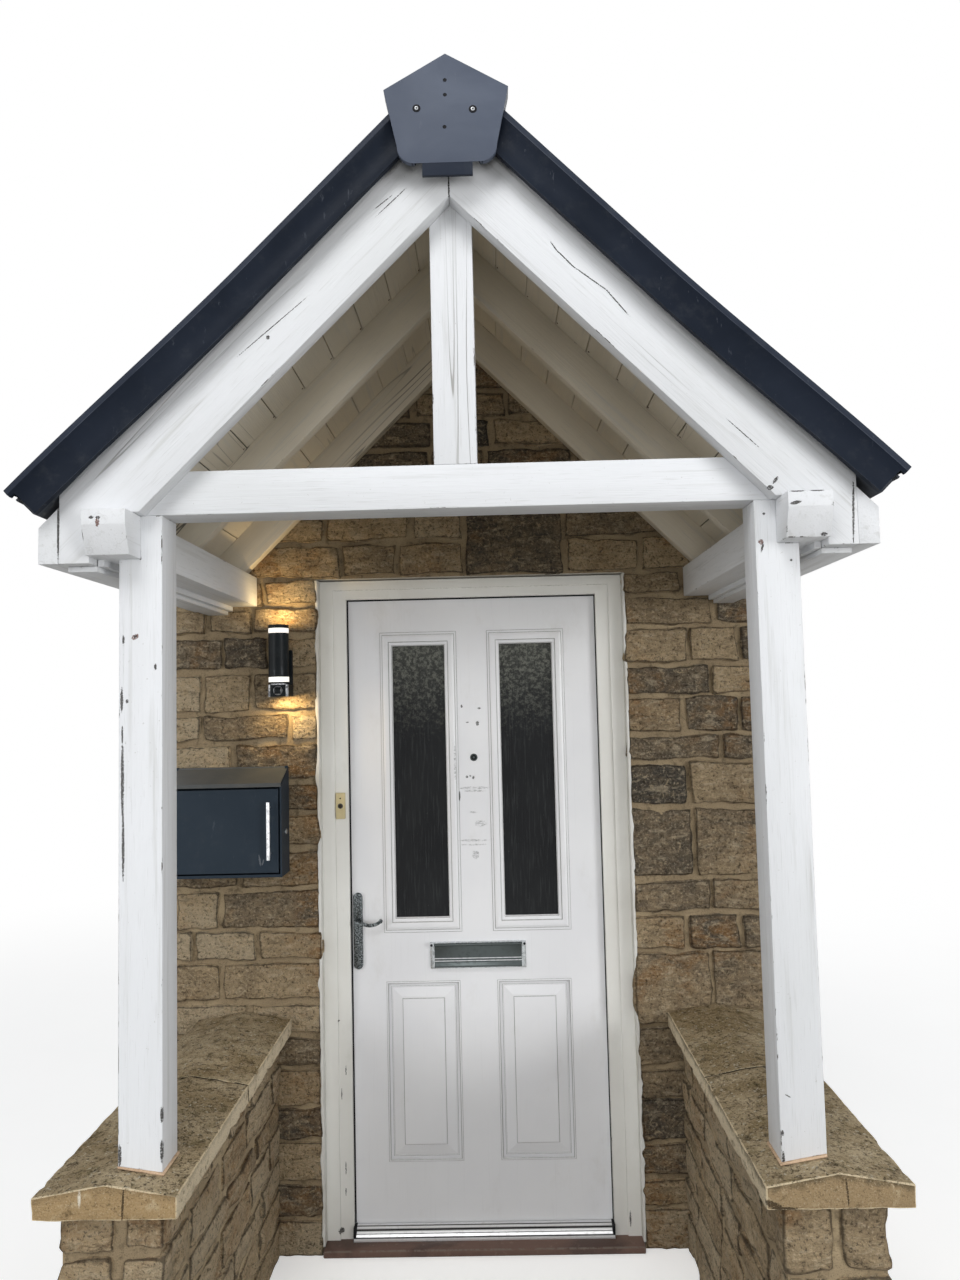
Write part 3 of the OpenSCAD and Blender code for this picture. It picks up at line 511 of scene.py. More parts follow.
def sandy_finish(name, main, dark, light):
    look = Finish(name)
    broad, mid = spots(look, 7, detail=4), spots(look, 45, detail=4, rough=0.65)
    sand = spots(look, 380, detail=2, rough=0.7)
    body = blend(band(broad, 0.35, 0.7), main, light)
    body = coats(body, (mid, 0.5, 0.72, 0.6, dark),
                 (sand, 0.56, 0.7, 0.5, light),
                 (sand, 0.44, 0.32, 0.5, dark))
    return surface(look, body, 0.95, relief(mid * 0.8 + sand * 0.5, 0.004),
                   Specular_IOR_Level=0.25)


rough_stone = stone_finish("rough_stone", 0.7)
wall_mortar = sandy_finish("wall_mortar", ink(144, 127, 101), ink(70, 60, 46),
                            ink(170, 152, 122))
plaster = sandy_finish("plain_plaster", ink(205, 200, 190), ink(188, 182, 170),
                        ink(214, 210, 202))
foot_mortar = sandy_finish("foot_mortar", ink(196, 166, 138), ink(150, 118, 88),
                            ink(224, 196, 166))
print("finishes:", rough_stone.name, wall_mortar.name, plaster.name, foot_mortar.name)

# %% [markdown]
# ## Stones
# Each stone is a box that is cut into a grid and pulled into a rounded, bulging block:
# a point keeps its place in the box's core and is drawn in towards it at the edges, which
# rounds all twelve edges at once. Noise then roughens the faces. This gives every stone
# its own shape, which a bump map on a flat wall can't. Blender's vector noise starts from
# the clock unless it has a seed, so it gets one, as the dice do. Then every run of the
# script lays the same stones.

# %% One stone
dice = random.Random(41)
noise.seed_set(41)


def stone(low, high, tone, rounding=0.009, rough=0.0095, step=0.0135, deep=None):
    """A rounded rough block. deep is the number of cuts through the wall, if it is few.
    Each point also gets its tone, and how far it is round the rim."""
    low, high = Vector(low), Vector(high)
    size = high - low
    bm = empty((), ("tone", "rim"))
    layer, rim = [bm.verts.layers.float[name] for name in ("tone", "rim")]
    slab(bm, low, high)
    for axis in range(3):
        few = axis == 1 and deep is not None
        divide(bm, axis, size[axis], deep if few else max(1, round(size[axis] / step)) - 1)
    seed = Vector([dice.uniform(-40, 40) for _ in range(3)])
    lean = [dice.uniform(-0.03, 0.03) for _ in range(2)]
    radius = min(rounding * dice.uniform(0.75, 1.3), min(size) * 0.45)
    for vert in bm.verts:
        point = vert.co.copy()
        if deep is not None:
            share = max(0.0, (point.y - low.y) / size.y)
            point.y = low.y + size.y * share ** 2.2
        core = Vector([within(point[i], low[i] + radius, high[i] - radius) for i in range(3)])
        out = point - core
        if out.length > 1e-9:
            out.normalize()
            point = core + out * radius
            vert[rim] = min(1.0, (1 - max(abs(value) for value in out)) / 0.29)
        wave = noise.noise_vector(point * 7 + seed)
        point += Vector((wave.x, 0, wave.z)) * 0.008
        lump = noise.fractal(point * 12 + seed, 0.9, 2.1, 4)
        crease = abs(noise.noise(point * 27 + seed))
        point += out * ((lump - 0.2 - crease * 0.5) * rough)
        point.y += (point.x - core.x) * lean[0] + (point.z - core.z) * lean[1]
        vert.co = point
        vert[layer] = tone
    return bm


def lay(wall, stone_bm, cuts=()):
    """Adds a stone to a wall, cut by (point, normal) planes that keep the inner side."""
    for point, normal in cuts:
        made = cut(stone_bm, point, normal, clear_outer=True)
        edge = [item for item in made["geom_cut"] if isinstance(item, bmesh.types.BMEdge)]
        if not stone_bm.verts:
            break
        if edge:
            bmesh.ops.contextual_create(stone_bm, geom=edge)
    if stone_bm.faces:
        join(wall, stone_bm)
    else:
        stone_bm.free()


test = stone((0, 0, 0), (0.2, 0.12, 0.1), 0.5, deep=3)
print("faces in one stone:", len(test.faces))
test.free()

# %% [markdown]
# ## The house wall beside and above the door
# The courses beside the door follow the real wall: each row is its lower and upper height
# and the places of its upright joints. Further up, where the roof hides the wall, the
# courses are made by rule. The stones stand in a core of mortar, which lies a little back.

# %% Courses of the house wall
half_wall, half_doorway, wall_top = 0.97, 0.5, 3.1
left_rows = [
    (0.0, 0.106, (-0.77,)), (0.12, 0.212, (-0.86, -0.66)), (0.226, 0.341, (-0.74,)),
    (0.359, 0.446, (-0.86, -0.68)), (0.454, 0.563, (-0.76,)), (0.58, 0.669, (-0.83, -0.67)),
    (0.676, 0.765, (-0.73,)), (0.783, 0.893, (-0.818,)), (0.908, 0.994, (-0.909, -0.698)),
    (1.008, 1.12, (-0.821,)), (1.142, 1.25, (-0.76,)), (1.265, 1.36, (-0.85, -0.66)),
    (1.375, 1.465, (-0.74,)), (1.48, 1.588, (-0.78,)), (1.605, 1.684, (-0.88, -0.596)),
    (1.699, 1.824, (-0.877, -0.713)), (1.838, 1.935, (-0.808, -0.655)),
    (1.955, 2.03, (-0.86, -0.712)), (2.046, 2.118, (-0.675,))]
right_rows = [
    (0.0, 0.119, (0.72,)), (0.133, 0.209, (0.65, 0.86)), (0.226, 0.316, (0.76,)),
    (0.332, 0.449, (0.66, 0.83)), (0.462, 0.543, (0.74,)), (0.557, 0.673, (0.68, 0.85)),
    (0.686, 0.904, (0.741,)), (0.918, 1.018, (0.67, 0.84)), (1.036, 1.126, (0.75,)),
    (1.144, 1.355, (0.7,)), (1.372, 1.499, (0.69,)), (1.514, 1.586, (0.8,)),
    (1.603, 1.711, (0.68, 0.86)), (1.727, 1.812, (0.775,)), (1.83, 1.936, (0.704, 0.87)),
    (1.953, 2.038, (0.788,)), (2.052, 2.12, (0.69,))]
high_rows = [(2.134, 2.233, (-0.76, -0.42, -0.235, -0.016, 0.312, 0.56, 0.8)),
             (2.249, 2.327, (-0.72, -0.47, -0.19, -0.016, 0.312, 0.62))]
height = 2.343
while height < 3.08:
    top = min(height + dice.uniform(0.078, 0.112), wall_top)
    joints, at = [], -0.95 + dice.uniform(0.0, 0.12)
    while at < 0.9:
        joints.append(at)
        at += dice.uniform(0.17, 0.33)
    high_rows.append((height, top, tuple(joints)))
    height = top + 0.016
gable = cad_box[1].z - 0.0008
slopes = [(Vector((0, 0, gable)), Vector((side, 0, 1)).normalized()) for side in (-1, 1)]
print("courses:", len(left_rows), len(right_rows), len(high_rows))

# %% [markdown]
# A row is laid between its joints. Stones at the wall's end or at the doorway have no
# joint there. The shade is the mean tone of a row: the stones left of the door and low
# down are pale. Those high on the right and those in the gable are darker, which is
# painted shade. One large dark stone over the door breaks through two courses.

# %% Lay the house wall
wall = empty((), ("tone", "rim"))
joint_half = 0.0045
stone_back = 0.12


def lay_row(low, high, edges, shade, cuts=()):
    for index, (x0, x1) in enumerate(zip(edges, edges[1:])):
        if x1 - x0 < 0.05:
            continue
        at_end = [any(abs(abs(x) - end) < 1e-6 for end in (half_wall, half_doorway))
                  for x in (x0, x1)]
        left_gap, right_gap = [0.0 if here else joint_half for here in at_end]
        if not cuts and index == 0 and x0 < 0 and dice.random() < 0.2:
            high = high - 0.006
        face = dice.uniform(-0.006, 0.0)
        made = stone((x0 + left_gap, face, low - 0.003),
                     (x1 - right_gap, stone_back, high + 0.003),
                     within(dice.gauss(shade, 0.27), 0, 1), deep=3,
                     step=0.021 if low > 2.4 else 0.0135)
        lay(wall, made, cuts)


for low, high, joints in left_rows:
    lay_row(low, high, (-half_wall,) + joints + (-half_doorway,), 0.66)
for low, high, joints in right_rows:
    # Above 1 m the right-hand rows are darker, which is painted shade.
    lay_row(low, high, (half_doorway,) + joints + (half_wall,), 0.66 if low < 1.0 else 0.24)
for low, high, joints in high_rows:
    edges = (-half_wall,) + joints + (half_wall,)
    if low < 2.3:
        keep = [x for x in edges if x <= -0.01], [x for x in edges if x >= 0.3]
        for stretch in keep:
            lay_row(low, high, stretch, 0.62, slopes)
    else:
        # The gable rows are darker, which is painted shade.
        lay_row(low, high, edges, 0.4, slopes)
lay(wall, stone((-0.010, -0.004, 2.127), (0.306, stone_back, 2.328), 0.2, deep=3), slopes)
flat_places = [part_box("letter_box"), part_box("wall_lamp")]
stone_end = half_wall - 0.0006
for vert in wall.verts:
    vert.co.x = within(vert.co.x, -stone_end, stone_end)
    vert.co.z = max(vert.co.z, 0.0)
    for low, high in flat_places:
        if low.x < vert.co.x < high.x and low.z < vert.co.z < high.z:
            vert.co.y = max(vert.co.y, 0.0002)
wall_stones = piece("wall_stones", wall, "porch", [rough_stone],
                    ("house_wall_left", "house_wall_right", "house_wall_over_door"))
print("wall stones:", len(wall_stones.data.polygons), "faces")

# %% [markdown]
# Where the letter box and the lamp are fixed, the stones are flat. The mortar core is
# three blocks: one at each side of the doorway and one above it. The gable planes cut
# them too. The room side is plain plaster, so its faces get that finish.

# %% Mortar core of the house wall
core = bmesh.new()
back = 0.0115
room_side = 0.3
reveal = half_doorway + 0.004
for low, high in (((-half_wall, back, 0), (-reveal, room_side, wall_top)),
                  ((reveal, back, 0), (half_wall, room_side, wall_top)),
                  ((-reveal, back, 2.125), (reveal, room_side, wall_top))):
    block = bmesh.new()
    slab(block, low, high)
    lay(core, block, slopes)
for face in core.faces:
    middle = face.calc_center_median()
    inside = face.normal.y > 0.5 or (abs(middle.x) < 0.51 and middle.z < 2.2
                                     and face.normal.y > -0.5)
    face.material_index = 1 if inside else 0
wall_core = piece("wall_mortar_core", core, "porch", [wall_mortar, plaster])
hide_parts("house_wall_left", "house_wall_right", "house_wall_over_door")
print("core:", len(wall_core.data.polygons), "faces")

# %% [markdown]
# ## The dwarf walls
# Each low wall has two leaves of stone with a mortar heart between them, so its end shows
# two stones side by side. The courses don't line up from leaf to leaf, as in real rubble.

# %% Dwarf walls
def dwarf_wall(side):
    low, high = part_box("dwarf_wall_" + side)
    leaves = empty((), ("tone", "rim"))
    middle = (low.x + high.x) / 2
    tops = {"left": [0.676, 0.588, 0.482, 0.405, 0.3, 0.212, 0.112],
            "right": [0.676, 0.528, 0.43, 0.335, 0.22, 0.118]}[side]
    for index, top in enumerate(tops):
        bottom = tops[index + 1] + 0.009 if index + 1 < len(tops) else 0.0
        split = middle + dice.uniform(-0.02, 0.02)
        if index == 0:
            split = -0.725 if side == "left" else 0.745
        for x0, x1 in ((low.x, split - 0.006), (split + 0.006, high.x)):
            y, first = low.y, True
            while y < -0.06:
                long = dice.uniform(0.12, 0.2) if first else dice.uniform(0.17, 0.34)
                end = y + long if y + long < -0.09 else 0.0
                made = stone((x0, y, bottom), (x1, end - (0.008 if end < 0 else 0), top),
                             within(dice.gauss(0.9, 0.16), 0, 1), 0.013, 0.0105, 0.0165)
                lay(leaves, made)
                y, first = end, False
    for vert in leaves.verts:
        vert.co.x = within(vert.co.x, low.x - 0.004, high.x + 0.004)
        vert.co.y = max(vert.co.y, low.y - 0.006)
        vert.co.z = within(vert.co.z, 0.0, high.z)
    name = "dwarf_wall_" + side
    piece("dwarf_stones_" + side, leaves, "porch", [rough_stone], (name,))
    heart = bmesh.new()
    slab(heart, low + Vector((0.011, 0.013, 0)), high - Vector((0.011, 0, 0)))
    piece("dwarf_mortar_" + side, heart, "porch", [wall_mortar], (name,))
    return len(tops)


print("courses in the dwarf walls:", [dwarf_wall(side) for side in ("left", "right")])

# %% [markdown]
# ## Coping stones
# The copings are saddle-backed. Their tops are grey-brown with lichen and grit, because
# rain stays there, their edges are scoured pale and their front faces are a clean ochre.
# Their other sides are painted paler than the fronts, which is painted light.
# The finish tells a top from a side by its normal, which is the same from every camera.

# %% Coping finish
def coping_finish():
    look = Finish("coping_stone")
    normal = look.node("NewGeometry", {}, {}, 1)
    front, up = part(normal, 1), part(normal, 2)
    where, along, level_z = part(look.place, 0), part(look.place, 1), part(look.place, 2)
    saddle_middle, saddle_top, saddle_fall = 0.744, 0.7497, 0.176
    worn = trait(look, "edge")
    broad, mid = spots(look, 6, detail=5, warp=0.8), spots(look, 38, detail=5, rough=0.7)
    grit = spots(look, 260, detail=3, rough=0.75)
    lichen = band(spots(look, 75, detail=3, rough=0.8), 0.59, 0.66)
    moss = spots(look, 28, detail=5, rough=0.75, warp=0.6)
    ochre = blend(broad, ink(182, 154, 112), ink(160, 136, 100))
    ochre = blend(band(where, -0.1, 0.1) * 0.4, ochre, ink(132, 118, 96))
    # pale is painted light: every side but the front is painted lighter than the ochre front.
    pale = blend(broad, ink(226, 212, 184), ink(204, 188, 158))
    side = blend(band(front, -0.4, -0.8), pale, ochre)
    side = blend(band(mid, 0.46, 0.3) * 0.75, side, ink(98, 80, 54))
    drop = saddle_top - (where.size() - saddle_middle).size() * saddle_fall - level_z
    rim = band(drop + (moss - 0.5) * 0.05, 0.019, 0.0) * (band(where, -0.1, 0.1) * 0.45 + 0.35)
    side = blend(rim, side, ink(84, 74, 56))
    side = blend(band(moss, 0.56, 0.7) * 0.45, side, ink(206, 190, 158))
    top = blend(band(broad, 0.35, 0.68), ink(148, 129, 95), ink(190, 172, 140))
    top = blend(band(mid, 0.5, 0.32) * 0.85, top, ink(72, 58, 36))
    top = blend(band(moss, 0.5, 0.64) * 0.5, top, ink(110, 98, 62))
    top = blend(lichen * 0.7, top, ink(208, 202, 184))
    body = blend(band(up + (mid - 0.5) * 0.5, 0.25, 0.75), side, top)
    body = blend(worn * band(mid, 0.28, 0.46) * 0.85, body, ink(226, 208, 174))
    body = coats(body, (grit, 0.56, 0.7, 0.45, ink(214, 200, 172)),
                 (grit, 0.44, 0.3, 0.7, ink(50, 40, 26)))
    cracks = marks(look, [(-0.7045, 0.712, 0.005, 0.07, 3), (0.757, 0.712, 0.004, 0.06, -4),
                       (0.606, 0.690, 0.036, 0.014, 20), (0.632, 0.682, 0.05, 0.006)], -1.095)
    body = blend(cracks * 0.85, body, ink(58, 46, 32))
    drip = mark(look, -0.7935, 0.722, 0.006, 0.03)
    body = blend(drip * band(grit, 0.3, 0.5), body, ink(232, 226, 210))
    pits = band(spots(look, 130, detail=4, rough=0.75), 0.44, 0.36) * band(up, 0.4, 0.8)
    body = blend(pits * 0.75, body, ink(56, 46, 30))
    seam = band((along + 0.53 + (mid - 0.5) * 0.005).size(), 0.0046, 0.003)
    body = blend(seam * 0.92, body, ink(34, 29, 22))
    height = broad * 0.2 + mid * 0.8 + grit * 0.45 - cracks * 0.4 - pits * 0.5
    return surface(look, body, 0.95, relief(height, 0.007), Specular_IOR_Level=0.25)


coping_stone = coping_finish()
print("coping finish:", coping_stone.name)

# %% [markdown]
# A coping stone is the solid with rounded edges, sliced into cells of about 18 mm. Noise
# then moves each point along its normal, most where the edges are worn. Front and rear
# stone meet in an open joint, so each is drawn back a little there, and a thin dark
# filling stands for the shadow in the joint.

# %% Coping stones
def weather(bm, amount, chip):
    """Roughens a sliced solid, most at its worn edges."""
    worn = bm.faces.layers.float["edge"]
    bm.normal_update()
    for vert in bm.verts:
        at_edge = max(face[worn] for face in vert.link_faces)
        lump = noise.fractal(vert.co * 22, 0.9, 2.1, 4)
        dent = max(0.0, noise.noise(vert.co * 31 + Vector((5, 2, 8))) - 0.25) * at_edge
        vert.co += vert.normal * (lump * amount - amount * 0.5 - dent * chip)


coping_joint = -0.53
for name in ("coping_front_left", "coping_front_right", "coping_rear_left",
             "coping_rear_right"):
    low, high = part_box(name)
    block = solid(name)
    for vert in block.verts:
        if abs(vert.co.y - coping_joint) < 0.001:
            vert.co.y += 0.0017 if "rear" in name else -0.0017
    soften(block, 0.0032, 2, 25)
    for axis in range(3):
        slice_up(block, axis, round((high[axis] - low[axis]) / 0.018))
    weather(block, 0.0016, 0.012)
    piece(name + "_stone", block, "porch", [coping_stone], (name,))
joint_shadow = sandy_finish("open_joint", ink(46, 40, 32), ink(24, 21, 17), ink(72, 62, 48))
joints = bmesh.new()
for x0, x1 in ((-0.889, -0.599), (0.599, 0.889)):
    slab(joints, (x0, coping_joint - 0.0025, 0.681), (x1, coping_joint + 0.0025, 0.7235))
piece("coping_joint_fill", joints, "porch", [joint_shadow])
print("copings made")

# %% [markdown]
# ## Painted timber
# The frame is planed softwood under old white gloss paint. Paint on timber fails in known
# ways: hairline cracks run with the grain, edges chip to dark wood, rust weeps from
# nails, and grime gathers in the pores. All of that follows the grain, so each member
# gets a copy of the finish whose pattern lies along it.

# %% Paint finish
def timber_paint(name, turn, along, main, shade, cracks=1.0, dark=(), rust=(), chips=0.6,
                 front=None):
    """turn lays the pattern about the y axis, and along is the axis of the grain. dark
    and rust are lists of places for the marks, which lie on the face at front."""
    look = Finish(name)
    place = look.node("VectorRotate", {"rotation_type": "Y_AXIS"},
                   {"Vector": look.place, "Angle": radians(turn)})
    worn = trait(look, "edge")
    run = [0.035 if axis == along else 1.0 for axis in range(3)]
    slow = [0.25 if axis == along else 1.0 for axis in range(3)]
    streak = spots(look, 55, run, 4, 0.6, place=place)
    fibre = spots(look, 330, run, 2, 0.6, place=place)
    broad = spots(look, 4, slow, 4, warp=0.5, place=place)
    line = spots(look, 16, [0.03 if axis == along else 1.0 for axis in range(3)], 2, 0.5,
                 place=place)
    patch = band(spots(look, 2.6, slow, 3, place=place), 0.5, 0.62)
    crack = band((line - 0.5).size(), 0.0070, 0.0022) * patch * cracks
    flake = band(spots(look, 34, slow, 5, 0.75, place=place), chips, chips + 0.05) * worn
    fleck = band(spots(look, 120, detail=3, rough=0.8), 0.68, 0.74)
    body = blend(band(broad, 0.35, 0.75) * 0.7, main, shade)
    body = coats(body, (streak, 0.54, 0.72, 0.4, ink(186, 187, 184)),
                 (fibre, 0.6, 0.72, 0.25, ink(170, 170, 167)))
    body = blend(fleck * 0.55, body, ink(150, 147, 138))
    body = blend(crack, body, ink(116, 112, 104))
    if rust:
        body = blend(marks(look, rust, front) * 0.9, body, ink(92, 48, 30))
    height = streak * 0.5 + fibre * 0.25 + broad * 0.4 - crack * 0.5 - flake * 0.9
    body = blend(flake * 0.9, body, ink(66, 58, 49))
    if dark:
        hole = marks(look, dark, front)
        body = blend(hole * 0.93, body, ink(38, 33, 28))
        height = height - hole * 0.8
    return surface(look, body, 0.42 + streak * 0.2 + flake * 0.3, relief(height, 0.0026),
                   Specular_IOR_Level=0.45)


# %% [markdown]
# The marks that can be seen on the real porch are listed by their place on the front:
# x, z, width and height in metres, and a tilt in degrees. Dark ones are bare wood, cracks
# and holes, and the others are rust. The underside of the roof is the same white paint,
# and its cream colour is painted shade.

# %% Marks and coats of paint
white, off_white = ink(224, 226, 229), ink(211, 213, 214)
# The cream colours are painted shade for the underside of the roof.
cream, dull_cream = ink(214, 206, 189), ink(198, 189, 170)
post_dark = [
    (-0.7323, 1.8625, 0.005, 0.022), (-0.7358, 1.7315, 0.0065, 0.056),
    (-0.7239, 1.729, 0.006, 0.009), (-0.7345, 1.659, 0.004, 0.036),
    (-0.7340, 1.560, 0.0075, 0.16), (-0.7322, 1.415, 0.006, 0.14),
    (-0.7066, 1.8695, 0.008, 0.006), (-0.6622, 1.8028, 0.006, 0.014),
    (-0.7382, 0.775, 0.008, 0.045), (-0.6499, 0.7835, 0.006, 0.045),
    (-0.6495, 0.857, 0.006, 0.034), (-0.655, 0.7375, 0.014, 0.006),
    (-0.700, 0.7365, 0.06, 0.0035), (0.6687, 2.1043, 0.006, 0.006),
    (0.7234, 2.0013, 0.006, 0.005), (0.6515, 0.799, 0.006, 0.012),
    (0.6625, 2.031, 0.005, 0.022, 15), (0.6515, 0.748, 0.006, 0.03),
    (0.6663, 0.8734, 0.014, 0.0025, 30)]
post_rust = [(0.6597, 2.0424, 0.013, 0.012), (-0.7066, 1.869, 0.018, 0.012, -30)]
nose_dark = [
    (-0.7674, 2.1167, 0.010, 0.007), (-0.7526, 2.1163, 0.010, 0.007),
    (0.7107, 2.1092, 0.024, 0.008, -12), (0.7741, 2.045, 0.014, 0.008),
    (0.715, 2.1335, 0.034, 0.0035), (0.757, 2.1338, 0.03, 0.0035),
    (-0.8565, 2.106, 0.005, 0.15), (0.8455, 2.0955, 0.005, 0.14, 2.7)]
slope_dark = {
    "right": [(0.6837, 2.1676, 0.02, 0.007, -50), (0.6719, 2.1517, 0.014, 0.010),
              (0.686, 2.1244, 0.03, 0.012, 20), (0.2265, 2.695, 0.03, 0.003, 57),
              (0.251, 2.6665, 0.06, 0.003, 47), (0.303, 2.6215, 0.1, 0.003, 38),
              (0.359, 2.5675, 0.08, 0.003, 51), (0.8455, 2.0955, 0.005, 0.14, 2.7),
              (0.0, 2.835, 0.004, 0.09), (0.62, 2.27, 0.1, 0.0022, 44)],
    "left": [(-0.4001, 2.5112, 0.008, 0.010), (-0.392, 2.533, 0.2, 0.0022, -40),
             (-0.8565, 2.106, 0.005, 0.15), (-0.125, 2.808, 0.09, 0.0024, -43),
             (-0.145, 2.806, 0.05, 0.0024, -38), (0.0, 2.835, 0.004, 0.09)]}
paint_up = timber_paint("painted_timber_upright", 0, 2, white, off_white, 0.65, post_dark,
                        post_rust, chips=0.56, front=-1.03)
paint_across = timber_paint("painted_timber_across", 0, 0, white, off_white, 0.6)
paint_deep = timber_paint("painted_timber_deep", 0, 1, white, off_white, 0.12, nose_dark,
                          [(-0.7542, 2.107, 0.009, 0.022)], front=-1.07)
slope_turns = (("right", -45), ("left", 45))
paint_slope = {side: timber_paint("painted_timber_slope_" + side, turn, 0, white, off_white,
                                  0.8, slope_dark[side], front=-1.075)
               for side, turn in slope_turns}
# The common rafters and the roof boards take the cream colours, which are painted shade.
paint_inner = {side: timber_paint("painted_timber_inner_" + side, turn, 0, cream, dull_cream)
               for side, turn in slope_turns}
paint_roof = timber_paint("painted_roof_boards", 0, 1, cream, dull_cream, 0.5)
print("marks on the posts and noses:", len(post_dark) + len(post_rust) + len(nose_dark))

# %% [markdown]
# The posts stand on a thin bed of mortar, which is part of the same solid piece. Its
# faces lie below the sloping line of the bed, so they get the mortar's finish.

# %% Posts
bed_foot, coping_edge, coping_fall = 0.7302, 0.594, 25 / 150
for side in ("left", "right"):
    name = "post_" + side
    post = soften(solid(name), 0.0022, 2)
    for face in post.faces:
        middle = face.calc_center_median()
        bed = bed_foot + (abs(middle.x) - coping_edge) * coping_fall
        face.material_index = 1 if middle.z < bed else 0
    piece(name + "_timber", post, "porch", [paint_up, foot_mortar],
          (name,), 12)
print("posts made")

# %% [markdown]
# All other timbers take the solid model's shape with a small rounding. Every one gets the
# coat of paint that runs along its own grain. Two packers fill the gap between the soffit
# boards and the wall plates.

# %% Beams, rafters and trim
for name, width, finish in (
        ("wall_plate_left", 0.0022, paint_deep), ("wall_plate_right", 0.0022, paint_deep),
        ("tie_beam", 0.0022, paint_across), ("king_post", 0.0022, paint_up),
        ("front_rafter_left", 0.002, paint_slope["left"]),
        ("front_rafter_right", 0.002, paint_slope["right"]),
        ("fascias", 0.0015, paint_deep), ("soffit_boards", 0.0012, paint_deep)):
    timber = soften(solid(name), width, 2)
    if name == "soffit_boards":
        for sign in (-1, 1):
            x0, x1 = sorted((sign * 0.7895, sign * 0.775))
            slab(timber, (x0, -1.0295, 2.0258), (x1, -0.0005, 2.0402))
    piece(name + "_timber", timber, "porch", [finish], (name,), 12)
rafters = soften(solid("common_rafters"), 0.0015, 2)
for face in rafters.faces:
    face.material_index = 0 if face.calc_center_median().x < 0 else 1
piece("common_rafters_timber", rafters, "porch",
      [paint_inner["left"], paint_inner["right"]], ("common_rafters",), 12)
print("timbers made")

# %% [markdown]
# ## Roof boards
# Seen from below, the roof is a ceiling of narrow boards that run from front to back,
# each a little out of line with the next, with a dark joint between them. They are
# single boards here, laid on the slope by one matrix per side.

# %% The slope's own frame
sqrt_half = 0.5 ** 0.5
board_top = 3.0301
sides = (("left", -1), ("right", 1))


def slope_matrix(side):
    """Turns (down the slope, y, out of it) into the porch's own axes. The left side is a
    mirror image."""
    sign = 1 if side == "right" else -1
    return Matrix(((sign * sqrt_half, 0, sign * sqrt_half, 0), (0, 1, 0, 0),
                   (-sqrt_half, 0, sqrt_half, board_top), (0, 0, 0, 1)))


print("the slope starts at z =", board_top)

# %% [markdown]
# A board is a box with rounded edges that hangs a random part of a millimetre low. Rusty
# nails show through the boards in two rows. The planes in `lay` cut off what would pass
# the ridge or the eaves.

# %% Roof boards
nail_rust = sandy_finish("rusty_nail", ink(70, 48, 36), ink(30, 24, 20), ink(96, 62, 40))
board_wide, board_thick, rafter_rows = 0.1135, 0.018, (-0.551, -0.025)
for side, sign in sides:
    boards, nails = empty(), empty()
    for count in range(12):
        down = -0.061 + count * board_wide
        board = empty()
        droop = dice.uniform(0, 0.0007)
        slab(board, (down + 0.0012, -1.03, -board_thick - droop),
             (down + board_wide - 0.0012, 0, -0.0003))
        soften(board, 0.0012, 1)
        outward(move(board, slope_matrix(side)))
        lay(boards, board, [((sign * 0.0004, 0, 0), (-sign, 0, 0)),
                            ((sign * 0.9, 0, 0), (sign, 0, 0))])
        for place in rafter_rows if down > 0.08 else ():
            nail = empty()
            bmesh.ops.create_cone(nail, cap_ends=True, segments=8, radius1=0.0019,
                                  radius2=0.0034, depth=0.002)
            shift = Vector((down + dice.uniform(0.003, 0.009), place + dice.uniform(-0.006, 0.003),
                            -0.0185))
            join(nails, move(nail, slope_matrix(side) @ Matrix.Translation(shift)))
    name = "roof_boards_" + side
    piece(name + "_single", boards, "porch", [paint_roof], (name,))
    piece("board_nails_" + side, outward(nails), "porch", [nail_rust])
print("roof boards laid")

# %% [markdown]
# ## Slates, ridge tiles and the dry verge
# Slate is dark and riven, so its pattern is stretched down the slope and has a pale
# bloom. The verge strip and the end cap are moulded plastic with a fine matt skin, which
# catches dust and scuffs. The ridge tiles and their bedding take the sandy finish again.

# %% Roof finishes
def slate_finish():
    look = Finish("roof_slate")
    tone = trait(look, "tone")
    riven = spots(look, 14, (1, 2.2, 1), 6, 0.62, 1.2)
    fine = spots(look, 150, detail=3, rough=0.7)
    bloom = band(spots(look, 26, detail=4, rough=0.7), 0.58, 0.74)
    body = tones((tone * 0.7 + riven * 0.45).clip(), (0.2, ink(47, 51, 58)),
                 (0.5, ink(66, 71, 80)), (0.8, ink(86, 90, 97)))
    body = blend(bloom * 0.35, body, ink(124, 126, 118))
    body = blend(band(fine, 0.62, 0.75) * 0.3, body, ink(110, 113, 118))
    return surface(look, body, 0.62 + fine * 0.2, relief(riven * 0.9 + fine * 0.25, 0.0016),
                   Specular_IOR_Level=0.45)


def plastic_finish(name, main, light, rough, shine=0.14, scars=()):
    look = Finish(name)
    skin = spots(look, 900, detail=2, rough=0.6)
    broad = spots(look, 5, detail=4, warp=0.6)
    scuff = band(spots(look, 60, (1, 1, 0.2), 4, 0.75), 0.64, 0.72)
    dust = band(spots(look, 18, detail=5, rough=0.7), 0.5, 0.8)
    body = blend(band(broad, 0.3, 0.75), main, light)
    body = blend(scuff * 0.16, body, ink(130, 136, 146))
    body = blend(dust * 0.1, body, ink(110, 112, 112))
    edge = trait(look, "edge") * band(broad, 0.4, 0.6) * 0.2
    body = blend(edge, body, ink(128, 134, 146))
    if scars:
        body = blend(marks(look, scars) * 0.4, body, ink(150, 154, 160))
    return surface(look, body, rough + dust * 0.12, relief(skin * 0.3 + broad * 0.2, 0.0005),
                   Specular_IOR_Level=shine)


